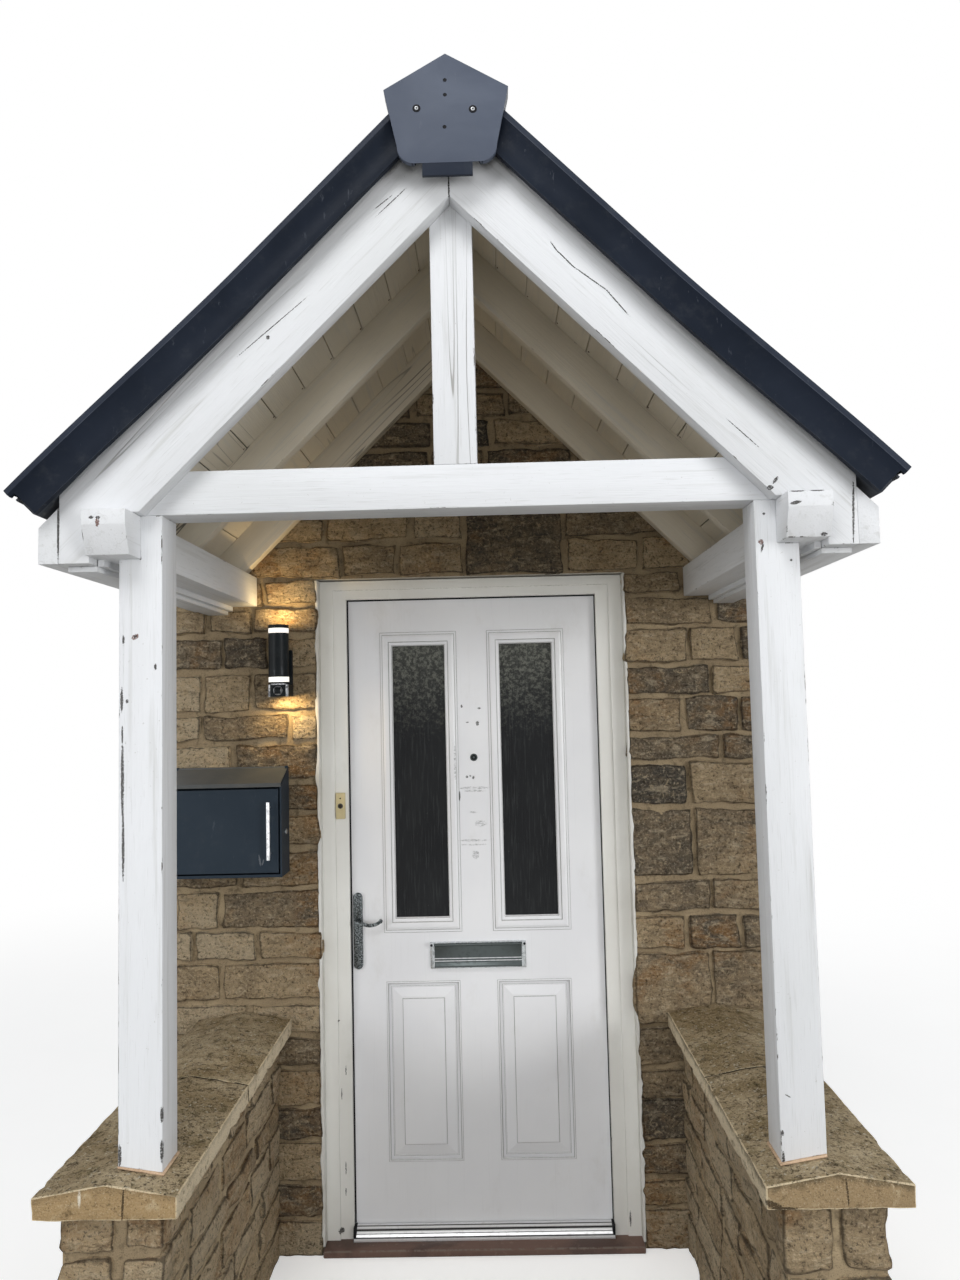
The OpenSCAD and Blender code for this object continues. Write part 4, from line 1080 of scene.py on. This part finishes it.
roof_slate = slate_finish()
verge_plastic = plastic_finish("verge_plastic", ink(21, 27, 37), ink(29, 35, 46), 0.42, 0.07)
verge_lip = plastic_finish("verge_lip", ink(36, 42, 54), ink(46, 52, 64), 0.4, 0.1)
cap_plastic = plastic_finish("cap_plastic", ink(76, 83, 97), ink(90, 97, 111), 0.5)
ridge_concrete = sandy_finish("ridge_concrete", ink(72, 74, 78), ink(52, 54, 58),
                               ink(98, 100, 102))
bedding_mortar = sandy_finish("bedding_mortar", ink(140, 134, 122), ink(104, 98, 88),
                               ink(168, 162, 150))
print("ridge and bedding:", ridge_concrete.name, bedding_mortar.name)

# %% [markdown]
# A slate lies with its head under the course above and its tail on the course below. It
# is a thin box, cut into a grid, whose tail is roughened by noise. It leans, because its
# tail rides on the slate below.

# %% One slate
gauge, slate_wide, eaves, ridge_side = 0.248, 0.25, 1.278, 0.045


def slate(side, tail, y0, y1):
    """One slate between y0 and y1. tail is how far down the slope its tail lies."""
    bm = empty((), ("tone",))
    layer = bm.verts.layers.float["tone"]
    long = gauge + 0.06
    slab(bm, (tail - long, y0, 0), (tail, y1, 0.0052))
    divide(bm, 0, long, 9)
    divide(bm, 1, y1 - y0, 8)
    tone, seed = dice.random(), Vector((dice.uniform(-9, 9), 3, 7))
    for vert in bm.verts:
        point = vert.co
        near = max(0.0, 1 - (tail - point.x) / 0.04)
        point.x += noise.noise(point * 60 + seed) * 0.0016 * near - 0.001 * near
        if point.z > 0.001:
            point.z += noise.noise(point * 22 + seed) * 0.0008 - 0.0006
        point.z += 0.0448 - (tail - point.x) * 0.0323
        vert[layer] = tone
    return outward(move(bm, slope_matrix(side)))


print("a slate shows", gauge, "m of its length")

# %% [markdown]
# The slates are laid from the eaves upwards. Every other course starts with a half slate,
# so no joint lies over another, and a plain layer under them closes the gaps. The top
# course is cut off where the ridge tile covers it.

# %% Slates
for side, sign in sides:
    roof = empty((), ("tone",))
    ridge_cut = [((sign * ridge_side, 0, 0), (-sign, 0, 0))]
    tail, course = eaves, 0
    while tail > 0.12:
        y = -1.1
        wide = slate_wide / 2 if course % 2 else slate_wide
        while y < -0.02:
            end = min(y + wide, 0.0)
            if end > -0.03:
                end = 0.0
            lay(roof, slate(side, tail, y + 0.0012, end - 0.0012), ridge_cut)
            y, wide = end, slate_wide
        tail -= gauge
        course += 1
    under = empty((), ("tone",))
    slab(under, (0.0, -1.098, 0.0002), (eaves - 0.006, -0.001, 0.033))
    lay(roof, outward(move(under, slope_matrix(side))), ridge_cut)
    name = "slates_" + side
    piece(name + "_single", roof, "porch", [roof_slate], (name,))
print("courses of slates:", course)

# %% [markdown]
# The ridge is three tiles long, so the solid's single length is laid three times, cut to
# one tile each, with a narrow joint between them. The mortar below keeps its own shape.

# %% Ridge tiles and bedding
ridge = empty()
low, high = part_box("ridge_tile")
joints = [low.y, -0.9, -0.45, high.y]
for y0, y1 in zip(joints, joints[1:]):
    lay(ridge, solid("ridge_tile"), [((0, y0 + (0.002 if y0 > low.y else 0), 0), (0, -1, 0)),
                                     ((0, y1 - (0.002 if y1 < high.y else 0), 0), (0, 1, 0))])
soften(ridge, 0.002, 2)
piece("ridge_tiles_single", ridge, "porch", [ridge_concrete],
      ("ridge_tile",))
piece("ridge_bedding_mortar", solid("ridge_bedding"), "porch", [bedding_mortar],
      ("ridge_bedding",))
print("ridge tiles:", len(joints) - 1)

# %% [markdown]
# A verge strip is sliced across before it is bent, because only a face with enough cuts
# can follow a curve. Thin plastic lifts a little towards the eaves, and the strip's lip
# leans back from the front.

# %% Verges
lip_front, bend_start, bend_run, bend_lift = -1.112, 0.44, 0.5, 0.0135
for side, sign in sides:
    strip = soften(solid("verge_" + side), 0.0008, 1)
    slice_up(strip, 0, 44)
    for face in strip.faces:
        middle = face.calc_center_median()
        rise = (abs(middle.x) + middle.z - board_top) * sqrt_half
        face.material_index = 1 if rise > 0.0405 and middle.y < lip_front else 0
    for vert in strip.verts:
        rise = (abs(vert.co.x) + vert.co.z - board_top) * sqrt_half
        if rise > 0.05 and vert.co.y < lip_front - 0.003:
            vert.co.y += 0.0046
        run = within((abs(vert.co.x) - bend_start) / bend_run, 0, 1)
        vert.co += Vector((sign, 0, 1)) * (bend_lift * run * run * (3 - 2 * run))
    piece("verge_strip_" + side, strip, "porch", [verge_plastic, verge_lip],
          ("verge_" + side,), 12)
print("verges made")

# %% [markdown]
# The end cap closes the ridge. Its face is set back by 2.4 mm, so that the screw heads
# stay inside the size of the solid model. Its skirt draws in behind the plate, as a
# moulding does, so that from below only the plate's own rim shows.

# %% Ridge end cap
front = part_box("ridge_end_cap")[0].y
cap = solid("ridge_end_cap")
for vert in cap.verts:
    if vert.co.y < front + 0.0015:
        vert.co.y += 0.0024
    elif vert.co.z < 2.8595 and vert.co.y > front + 0.03:
        vert.co.y = front + 0.012
cut(cap, (0, front + 0.015, 0), (0, 1, 0), dist=1e-6)
for vert in cap.verts:
    if vert.co.y > front + 0.016 and vert.co.z < 2.95:
        vert.co.z += 0.03 * min(1.0, (2.95 - vert.co.z) / 0.06)
        vert.co.x *= 0.9
soften(cap, 0.0014, 2)
for face in cap.faces:
    middle = face.calc_center_median()
    face.material_index = 1 if middle.z < 2.858 or middle.y > front + 0.009 else 0
piece("ridge_cap_moulding", cap, "porch", [cap_plastic, verge_lip],
      ("ridge_end_cap",))
print("cap face at y =", round(front + 0.0024, 4))

# %% [markdown]
# Metal is a colour that shines, so its finish is about how it dulls: fine scratches along
# the way it was brushed, and patches where a film has formed. The same helper serves
# screws, hinges, plated fittings and the aluminium sill, whose grooves are dark lines.

# %% Metal finish
def metal_finish(name, main, dark, rough, metallic=1.0, brushed=(1, 1, 1), lines=(),
                 worn=(0.46, 0.62, 0.75, 75)):
    """worn is where the dull patches start and end, how strong and how fine they are."""
    look = Finish(name)
    scratch = spots(look, 420, brushed, 3, 0.6)
    grime = band(spots(look, worn[3], detail=4, rough=0.7), worn[0], worn[1])
    fine = spots(look, 1300, detail=1)
    body = blend(grime * worn[2], main, dark)
    for place in lines:
        body = blend(mark(look, *place), body, ink(24, 24, 25))
    return surface(look, body, rough + grime * 0.18 + scratch * 0.1,
                   relief(scratch * 0.5 + fine * 0.3 + grime * 0.3, 0.0002),
                   Metallic=metallic)


black_rubber = plastic_finish("black_washer", ink(16, 17, 19), ink(26, 27, 30), 0.6)
screw_steel = metal_finish("screw_steel", ink(198, 200, 202), ink(120, 120, 118), 0.3)
print("finishes of the screws:", black_rubber.name, screw_steel.name)

# %% [markdown]
# Two screws with dark washers hold the cap, and three small holes are moulded through its
# face. A screw is two turned profiles, and its head has a dimple for the driver. So small
# a hole shows only as a dark spot, so it is a dark disc with a low rim, whose black is
# painted shade.

# %% Screws and holes of the cap
def face_front(x, z, y):
    """Turns a piece made about the z axis so that its top faces the front."""
    return Matrix.Translation((x, y, z)) @ Matrix.Rotation(radians(90), 4, "X")


fixings = empty()
for x, z in ((-0.0635, 2.981), (0.0573, 2.9755)):
    washer = turned(((0, 0), (0.0085, 0), (0.0085, 0.0009), (0.0062, 0.0014), (0, 0.0014)))
    join(fixings, move(washer, face_front(x, z, front + 0.0026)))
    head = turned(((0, 0.0012), (0.0042, 0.0012), (0.0038, 0.0019), (0.0022, 0.0024),
                   (0.0016, 0.0014), (0, 0.0014)), 24)
    for face in head.faces:
        face.material_index = 1
    join(fixings, move(head, face_front(x, z, front + 0.0026)))
for x, z in ((-0.0015, 3.0423), (-0.002, 3.0095), (-0.004, 2.9379)):
    # Each hole is a black disc: painted shade for the hole.
    hole = turned(((0, 0.0001), (0.0026, 0.0001), (0.0034, 0.0004), (0.0042, 0.0)), 24)
    join(fixings, move(hole, face_front(x, z, front + 0.0023)))
piece("ridge_cap_fixings", fixings, "porch", [black_rubber, screw_steel])
print("cap screwed on")

# %% [markdown]
# ## The door set
# The frame is a moulded white one, a little greyer than the timber. The leaf is a
# moulded door whose skin is embossed with upright wood grain. The panes are dark and
# lightly textured, so they show only a soft shine, and their upper part is lighter, which
# is a painted reflection. The fittings are old plated metal.

# %% Door finishes
def moulded_skin(name, main, shade, grain, dark=(), smear=()):
    look = Finish(name)
    run = (1, 1, 0.03)
    pores = spots(look, 120, run, 4, 0.65, 0.4)
    waves = spots(look, 22, (1, 1, 0.12), 4, 0.55, 0.8)
    broad = spots(look, 2.5, detail=4)
    grime = band(spots(look, 9, (1, 1, 0.5), 5, 0.7), 0.55, 0.8)
    body = blend(band(broad, 0.3, 0.7), main, shade)
    body = blend(band(pores, 0.42, 0.3) * 0.1 * grain, body, ink(168, 168, 166))
    body = blend(grime * 0.16, body, ink(176, 170, 156))
    # The quirks, the faces marked by a moulding's third number, are darkened: painted shade.
    quirk = band(trait(look, "edge"), 1.5, 1.9)
    edge = trait(look, "edge") * band(pores, 0.45, 0.6) * 0.3
    body = blend((edge * (1 - quirk)).clip(), body, ink(150, 148, 142))
    body = blend(quirk * (band(grime + pores, 0.2, 0.6) * 0.25 + 0.4), body, ink(112, 111, 106))
    height = pores * 0.4 * grain + waves * 0.35 * grain + broad * 0.2
    if smear:
        rubbed = marks(look, smear) * band(spots(look, 90, (1, 1, 4), 4, 0.7), 0.42, 0.58)
        body = blend(rubbed * 0.7, body, ink(120, 122, 124))
    if dark:
        scar = marks(look, dark)
        body = blend(scar * 0.9, body, ink(48, 46, 44))
        height = height - scar * 0.4
    return surface(look, body, 0.36 + grime * 0.15, relief(height, 0.0007),
                   Specular_IOR_Level=0.45)


def glass_finish():
    look = Finish("dark_glass")
    rain = spots(look, 210, (1, 1, 0.05), 3, 0.6)
    broad = spots(look, 6, (1, 1, 0.5), 3)
    smear = band(spots(look, 16, (1, 1, 0.3), 4, 0.7), 0.5, 0.8)
    body = blend(band(broad, 0.35, 0.7), ink(12, 14, 17), ink(22, 24, 26))
    body = blend(band(rain, 0.5, 0.72) * 0.5, body, ink(54, 57, 57))
    # The upper part of each pane is made lighter, which is a painted reflection.
    height = part(look.place, 2)
    reflection_mottle = spots(look, 95, detail=5, rough=0.75, warp=0.3)
    top_painted_reflection = band(height + (reflection_mottle - 0.5) * 0.5, 1.6, 1.96) * (band(reflection_mottle, 0.46, 0.58) * 0.65 + 0.35)
    body = blend(top_painted_reflection * 0.7, body, ink(126, 128, 118))
    drops = band(spots(look, 170, (1, 1, 0.5), 3, 0.8), 0.7, 0.76)
    body = blend(drops * 0.3, body, ink(120, 122, 120))
    return surface(look, body, 0.16 + smear * 0.12, relief(rain * 0.6, 0.0006),
                   Specular_IOR_Level=0.2)


print("door helpers ready")

# %% [markdown]
# The leaf carries the scars of an older knocker and numbers: screw holes, and smears of
# old glue between the panes. They are listed by place, as the marks on the timber are.

# %% Marks and coats of the door set
frame_scars = [
    (-0.4525, 0.70, 0.007, 0.006), (-0.4322, 0.543, 0.004, 0.03),
    (-0.4466, 0.4696, 0.004, 0.035), (-0.4363, 0.2413, 0.004, 0.04),
    (-0.4373, 0.1686, 0.004, 0.025), (0.4076, 0.211, 0.004, 0.012),
    (0.4109, 0.313, 0.003, 0.02), (0.462, 0.075, 0.006, 0.05), (-0.452, 0.05, 0.02, 0.02)]
door_scars = [
    (-0.0366, 1.6998, 0.008, 0.010), (0.0208, 1.6919, 0.014, 0.006),
    (0.0141, 1.6424, 0.011, 0.016), (-0.019, 1.6464, 0.010, 0.004),
    (-0.0241, 1.4676, 0.009, 0.008), (-0.0032, 1.4649, 0.009, 0.012),
    (-0.0497, 1.4059, 0.006, 0.034), (-0.013, 1.47, 0.006, 0.006)]
door_smears = [
    (0.001, 1.431, 0.10, 0.010), (0.003, 1.4215, 0.08, 0.006),
    (-0.005, 1.261, 0.10, 0.007), (-0.005, 1.247, 0.09, 0.005),
    (0.0176, 1.3152, 0.04, 0.022), (-0.001, 1.2147, 0.024, 0.03),
    (-0.062, 1.515, 0.007, 0.13), (-0.005, 1.352, 0.03, 0.006)]
frame_paint = moulded_skin("frame_paint", ink(240, 240, 235), ink(231, 230, 224), 0.35,
                           frame_scars)
door_skin = moulded_skin("door_skin", ink(238, 239, 241), ink(232, 233, 236), 0.45,
                         door_scars, door_smears)
dark_glass = glass_finish()
chrome = metal_finish("plated_steel", ink(188, 192, 194), ink(112, 115, 116), 0.2,
                      worn=(0.5, 0.62, 0.4, 75))
flap_metal = metal_finish("dull_plating", ink(84, 90, 90), ink(60, 64, 64), 0.3,
                          worn=(0.5, 0.7, 0.3, 75))
antique = metal_finish("antique_metal", ink(150, 157, 159), ink(16, 18, 19), 0.24,
                       worn=(0.36, 0.56, 0.9, 210))
bright_steel = metal_finish("bright_steel", ink(232, 234, 236), ink(190, 192, 194), 0.3)
aluminium = metal_finish("sill_aluminium", ink(236, 237, 238), ink(206, 205, 202), 0.36, 0.75,
                         (0.02, 1, 1), ((0, 0.0342, 2.4, 0.0044), (0, 0.0425, 2.4, 0.0016),
                                        (0, 0.0500, 2.4, 0.0052), (0, 0.0580, 2.4, 0.0022)),
                         (0.5, 0.7, 0.4, 75))
steel = metal_finish("hinge_steel", ink(176, 178, 180), ink(110, 110, 108), 0.35)
print("marks on the leaf:", len(door_scars) + len(door_smears))

# %% [markdown]
# The leaf's mouldings are finer than those of the solid model. Each one is a rectangle
# that is inset again and again, each time a little inward and a little out or back, so
# the list of steps is the moulding's profile. The solid's plain moulding is pressed flat
# to make room for it.

# %% Mouldings
def moulding(low, high, front, steps, rails=(1, 1), field=False):
    """A moulding between two (x, z) corners. steps are (inward, forward) moves, and a
    third number marks a quirk, which the finish darkens as painted shade. rails stretch its
    lower and upper rail. With field, the middle is kept as a raised panel."""
    bm = empty()
    worn = bm.faces.layers.float["edge"]
    middle = Vector(((low[0] + high[0]) / 2, front, (low[1] + high[1]) / 2))
    bmesh.ops.create_grid(bm, x_segments=1, y_segments=1, size=0.5)
    bmesh.ops.scale(bm, vec=(high[0] - low[0], high[1] - low[1], 1), verts=bm.verts)
    move(bm, Matrix.Translation(middle) @ Matrix.Rotation(radians(90), 4, "X"))
    inner = list(bm.faces)
    for inward, forward, quirk_shade in steps:
        made = bmesh.ops.inset_region(bm, faces=inner, thickness=inward, depth=forward,
                                      use_boundary=True, use_even_offset=True)
        for face in made["faces"]:
            face[worn] = quirk_shade * 2.0
    if not field:
        bmesh.ops.delete(bm, geom=inner, context="FACES_ONLY")
        for vert in bm.verts:
            if vert.co.z < middle.z:
                vert.co.z = low[1] + (vert.co.z - low[1]) * rails[0]
            else:
                vert.co.z = high[1] - (high[1] - vert.co.z) * rails[1]
    return bm


glass_steps = [(0.0020, 0.0034, 1), (0.0053, 0.0004, 0), (0.0020, 0.0030, 1),
               (0.0060, 0.0024, 0), (0.0065, 0.0005, 0), (0.0065, -0.0008, 0),
               (0.0022, -0.0032, 1), (0.0080, -0.0020, 0), (0.0020, -0.0060, 1)]
bead_steps = [(0.0020, 0.0018, 1), (0.0035, 0.0004, 0), (0.0020, -0.0018, 1),
              (0.0004, -0.0030, 0)]
line_steps = [(0.0017, 0.0014, 1), (0.0022, 0.0, 0), (0.0017, -0.0016, 1)]
field_steps = [(0.0024, 0.0030, 1), (0.0014, 0.0003, 0)]
leaf = solid("door_leaf")
for vert in leaf.verts:
    vert.co.y = max(vert.co.y, 0.070) if vert.co.y < 0.0695 else vert.co.y
bmesh.ops.remove_doubles(leaf, verts=leaf.verts, dist=0.00002)
bmesh.ops.dissolve_limit(leaf, angle_limit=radians(0.5), verts=leaf.verts, edges=leaf.edges)
soften(leaf, 0.0009, 1)
for sign in (-1, 1):
    for x0, x1, z0, z1, front, steps, rails, field in (
            (0.050, 0.305, 0.968, 1.950, 0.0703, glass_steps, (1.195, 1.135), False),
            (0.0595, 0.3005, 0.2465, 0.8135, 0.0703, bead_steps, (1, 1), False),
            (0.075, 0.285, 0.262, 0.798, 0.0764, line_steps, (1, 1), False),
            (0.111, 0.249, 0.299, 0.760, 0.0702, field_steps, (1, 1), True)):
        left, right_x = sorted((sign * x0, sign * x1))
        join(leaf, moulding((left, z0), (right_x, z1), front, steps, rails, field))
print("the leaf has", len(leaf.faces), "faces")

# %% [markdown]
# The frame's lip carries a black seal along the head and both sides, and the aluminium
# sill has a black block at either end. Both are thin boxes. The seal ends at the top of
# the lip, and that height is read from the mesh of the solid frame.

# %% Frame, leaf, glass and threshold
piece("door_frame_moulding", soften(solid("door_frame"), 0.0016, 2), "porch",
      [frame_paint], ("door_frame",), 12)
piece("door_leaf_skin", leaf, "door", [door_skin], ("door_leaf",), 8)
piece("door_panes", soften(solid("door_glass"), 0.0006, 1), "door",
      [dark_glass], ("door_glass",))
piece("door_sill", soften(solid("threshold"), 0.0009, 1), "porch",
      [aluminium], ("threshold",), 12)
lip_top = max(v.co.z for v in nodes["door_frame"].data.vertices
              if abs(v.co.y - 0.065) < 0.0002 and abs(abs(v.co.x) - 0.412) < 0.0005)
print("the frame's lip is at z =", round(lip_top, 4))
ends = bmesh.new()
for x0, x1 in ((-0.4125, -0.404), (0.404, 0.4125)):
    slab(ends, (x0, 0.0285, 0.0235), (x1, 0.066, 0.0625))
for x0, x1 in ((-0.4135, -0.4075), (0.4090, 0.4135)):
    slab(ends, (x0, 0.0654, 0.0635), (x1, 0.0682, lip_top + 0.001))
slab(ends, (-0.4075, 0.0654, lip_top - 0.0045), (0.4090, 0.0682, lip_top + 0.001))
piece("frame_seal", ends, "porch", [black_rubber])
for name, body in (("door_hinges", "porch"), ("leaf_hinges", "door")):
    piece(name + "_metal", soften(solid(name), 0.0004, 1), body, [steel], (name,))
print("door set made")

# %% [markdown]
# A bead of sealant joins the frame to the stone. It was smoothed by finger, so it is
# wavy, and thicker over the joints of the stones. It is a box, cut across many times,
# whose points are pushed out by noise.

# %% Sealant
sealant = plastic_finish("white_sealant", ink(226, 226, 222), ink(208, 205, 196), 0.5)
bead = empty()
for sign in (-1, 1):
    strip = empty()
    inner, outer = sorted((sign * 0.4965, sign * 0.5055))
    slab(strip, (inner, 0.002, 0.024), (outer, 0.041, 2.121))
    slice_up(strip, 2, 210)
    for vert in strip.verts:
        wave = noise.fractal(Vector((sign * 3, 0, vert.co.z * 9)), 0.8, 2.2, 4)
        spread = 0.0035 * wave + 0.009 * max(0.0, wave - 0.22)
        if abs(vert.co.x) > 0.5:
            vert.co.x += sign * spread
        if vert.co.y < 0.02:
            vert.co.y -= 0.001 + max(0.0, wave) * 0.003
    join(bead, soften(strip, 0.0018, 2, 50))
piece("frame_sealant", bead, "porch", [sealant])
print("sealant made")

# %% [markdown]
# The step was painted a dull red long ago. Feet and rain have darkened it in patches, and
# where it is damp it shines more, so one mask drives both the colour and the roughness.

# %% Step
def step_finish():
    look = Finish("step_paint")
    broad, mid = spots(look, 5, detail=5, warp=0.6), spots(look, 40, detail=4, rough=0.7)
    fine = spots(look, 260, detail=2)
    damp = band(broad, 0.45, 0.62)
    body = blend(damp, ink(112, 88, 78), ink(80, 60, 52))
    body = blend(band(mid, 0.58, 0.72) * 0.5, body, ink(140, 118, 104))
    body = blend(trait(look, "edge") * band(mid, 0.4, 0.55) * 0.6, body, ink(128, 118, 108))
    return surface(look, body, 0.72 - damp * 0.25, relief(mid * 0.6 + fine * 0.4, 0.0012))


step_paint = step_finish()
block = soften(solid("door_step"), 0.004, 2)
piece("door_step_block", block, "porch", [step_paint], ("door_step",))
print("step made")

# %% [markdown]
# The lever and its plates are antique metal, and the letter plate is brighter than its
# flap. The spy hole is a ring, a dark gap and a lens: three thin discs, each turned from a
# profile and laid on the one before.

# %% Handle, letter plate and spy hole
for name, body, width, segments, finish, slot_name in (
        ("handle_plates", "door", 0.002, 2, antique, "antique_metal"),
        ("lever_handle", "lever", 0.0024, 3, antique, "antique_metal"),
        ("letter_plate", "door", 0.0012, 2, chrome, "chrome"),
        ("letter_flap", "flap", 0.0007, 2, flap_metal, "chrome")):
    piece(name + "_metal", soften(solid(name), width, segments), body, [finish],
          (name,))
print("plates and lever made")
spy = soften(solid("spy_hole"), 0.0008, 2)
for radius, rise, shine in ((0.0105, 0.0004, 1), (0.0085, 0.0006, 0), (0.0034, 0.0008, 1)):
    lens = turned(((0, rise), (radius, rise), (radius, 0.0001), (0, 0.0001)), 28)
    for face in lens.faces:
        face.material_index = shine
    join(spy, move(lens, face_front(0, 1.531, 0.0672)))
piece("spy_hole_metal", spy, "door", [black_rubber, flap_metal], ("spy_hole",))

# %% [markdown]
# Two fine ribs run along the flap, and a dark cap sits at either end of the letter plate.
# They are too small for the solid model, so they are added on top of it here.

# %% Ribs of the flap and ends of the letter plate
ridges = bmesh.new()
for z in (0.8775, 0.8855):
    rib = empty()
    slab(rib, (-0.1405, 0.0543, z), (0.1405, 0.0563, z + 0.0028))
    join(ridges, soften(rib, 0.0006, 1))
piece("letter_flap_ridges", ridges, "flap", [bright_steel])
caps = bmesh.new()
for x in (-0.1505, 0.1505):
    cap_end = turned(((0, 0), (0.0042, 0), (0.0042, 0.0006), (0.0034, 0.0011), (0, 0.0011)), 20)
    join(caps, move(cap_end, face_front(x, 0.930, 0.0531)))
piece("letter_plate_caps", caps, "door", [black_rubber])
print("letter plate made")

# %% [markdown]
# The bell push is an ivory moulding with a round dark button and a pinhole above it. The
# button belongs to the solid, so its faces are picked by how near they are to its middle.
# The pinhole is a dark disc, which is painted shade.

# %% Bell push
ivory = plastic_finish("ivory_plastic", ink(222, 208, 166), ink(205, 190, 146), 0.4)
button_black = plastic_finish("button_black", ink(38, 33, 26), ink(54, 47, 36), 0.4)
bell_x, button_z = -0.437, 1.385
bell = soften(solid("bell_push"), 0.0022, 2)
for face in bell.faces:
    round_part = all(Vector((v.co.x - bell_x, v.co.z - button_z)).length < 0.0092
                     for v in face.verts)
    face.material_index = 1 if round_part and face.calc_center_median().y < 0.0345 else 0
# The pinhole is a dark disc: painted shade for the hole.
hole = turned(((0, 0.0003), (0.0022, 0.0003), (0.0026, 0.0)), 16)
for face in hole.faces:
    face.material_index = 1
join(bell, move(hole, face_front(bell_x, 1.4095, 0.0339)))
piece("bell_push_moulding", bell, "porch", [ivory, button_black],
      ("bell_push",))
print("bell push made")

# %% [markdown]
# ## Wall lamp and letter box
# The lamp is a black barrel with a pale band near each end, where its light shines out,
# over a grey sensor housing. The bands are cut into the barrel and given a finish that
# glows by itself, and two small lamps throw the warm light on the wall. The letter box is
# folded steel in a powder coating, whose fine orange-peel skin comes from a small bump.

# %% Wall lamp
def glow_finish(name, color, strength):
    look = Finish(name)
    haze = spots(look, 60, detail=3)
    body = blend(haze, color, ink(250, 246, 236))
    return surface(look, body, 0.4, relief(haze, 0.0003), Emission_Color=body,
                   Emission_Strength=strength)


lamp_x, lamp_y, barrel = -0.612, -0.062, 0.0318
band_edges = (1.790, 1.806, 1.946, 1.961)
lamp_black = plastic_finish("lamp_black", ink(20, 24, 27), ink(30, 35, 38), 0.35, 0.12)
sensor_grey = metal_finish("sensor_grey", ink(176, 178, 181), ink(84, 85, 88), 0.45, 0.6)
lit_band = glow_finish("lit_band", ink(255, 252, 244), 0.75)
body = soften(solid("wall_lamp"), 0.0012, 1)
for height in band_edges:
    cut(body, (0, 0, height), (0, 0, 1), dist=1e-6)
for face in body.faces:
    spot = face.calc_center_median()
    off_axis = Vector((spot.x - lamp_x, spot.y - lamp_y)).length
    above_edges = sum(spot.z > edge for edge in band_edges)
    if abs(off_axis - barrel) < 0.0012 and above_edges in (1, 3):
        face.material_index = 1
    elif spot.z < 1.785 and spot.y < -0.07:
        on_dome = 1.753 < spot.z < 1.773 and abs(spot.x - lamp_x) < 0.010
        face.material_index = 0 if on_dome else 2
    else:
        face.material_index = 0
piece("wall_lamp_body", body, "porch", [lamp_black, lit_band, sensor_grey],
      ("wall_lamp",))
for name, place, target, watts in (
        ("lamp_up", (lamp_x, -0.052, 1.976), (-0.6, 0.0, 2.2), 0.42),
        ("lamp_down", (-0.600, -0.052, 1.738), (-0.56, 0.0, 1.5), 0.5)):
    glow = lamp(name, place, target, 0.035, watts, (1.0, 0.72, 0.34))
    glow.visible_camera = False
    glow.visible_glossy = False
print("lamp made")

# %% [markdown]
# The letter box is three pieces: the box, and the lid and the door that open. The pull
# bar on the door and the lock at the box's side are bright steel, and they are told from
# the painted sheet by how far they stand out.

# %% Letter box
lock_side, bar_side = -0.5965, -0.1102
scratches = [(-0.6655, 1.238, 0.006, 0.036, -8), (-0.656, 1.232, 0.005, 0.02, 20)]
box_paint = plastic_finish("box_paint", ink(43, 53, 63), ink(47, 57, 67), 0.42, 0.12, scratches)
lid_paint = plastic_finish("lid_paint", ink(78, 82, 84), ink(96, 96, 94), 0.42)
for name, body_name, finish in (("letter_box", "porch", box_paint),
                                ("letter_box_lid", "box_lid", lid_paint)):
    sheet = soften(solid(name), 0.0009, 1)
    for face in sheet.faces:
        face.material_index = 1 if face.calc_center_median().x > lock_side else 0
    piece(name + "_sheet", sheet, body_name, [finish, bright_steel], (name,), 12)
door = soften(solid("letter_box_door"), 0.0009, 1)
for face in door.faces:
    face.material_index = 1 if face.calc_center_median().y < bar_side else 0
piece("letter_box_door_sheet", door, "box_door", [box_paint, bright_steel],
      ("letter_box_door",), 12)
print("letter box made")
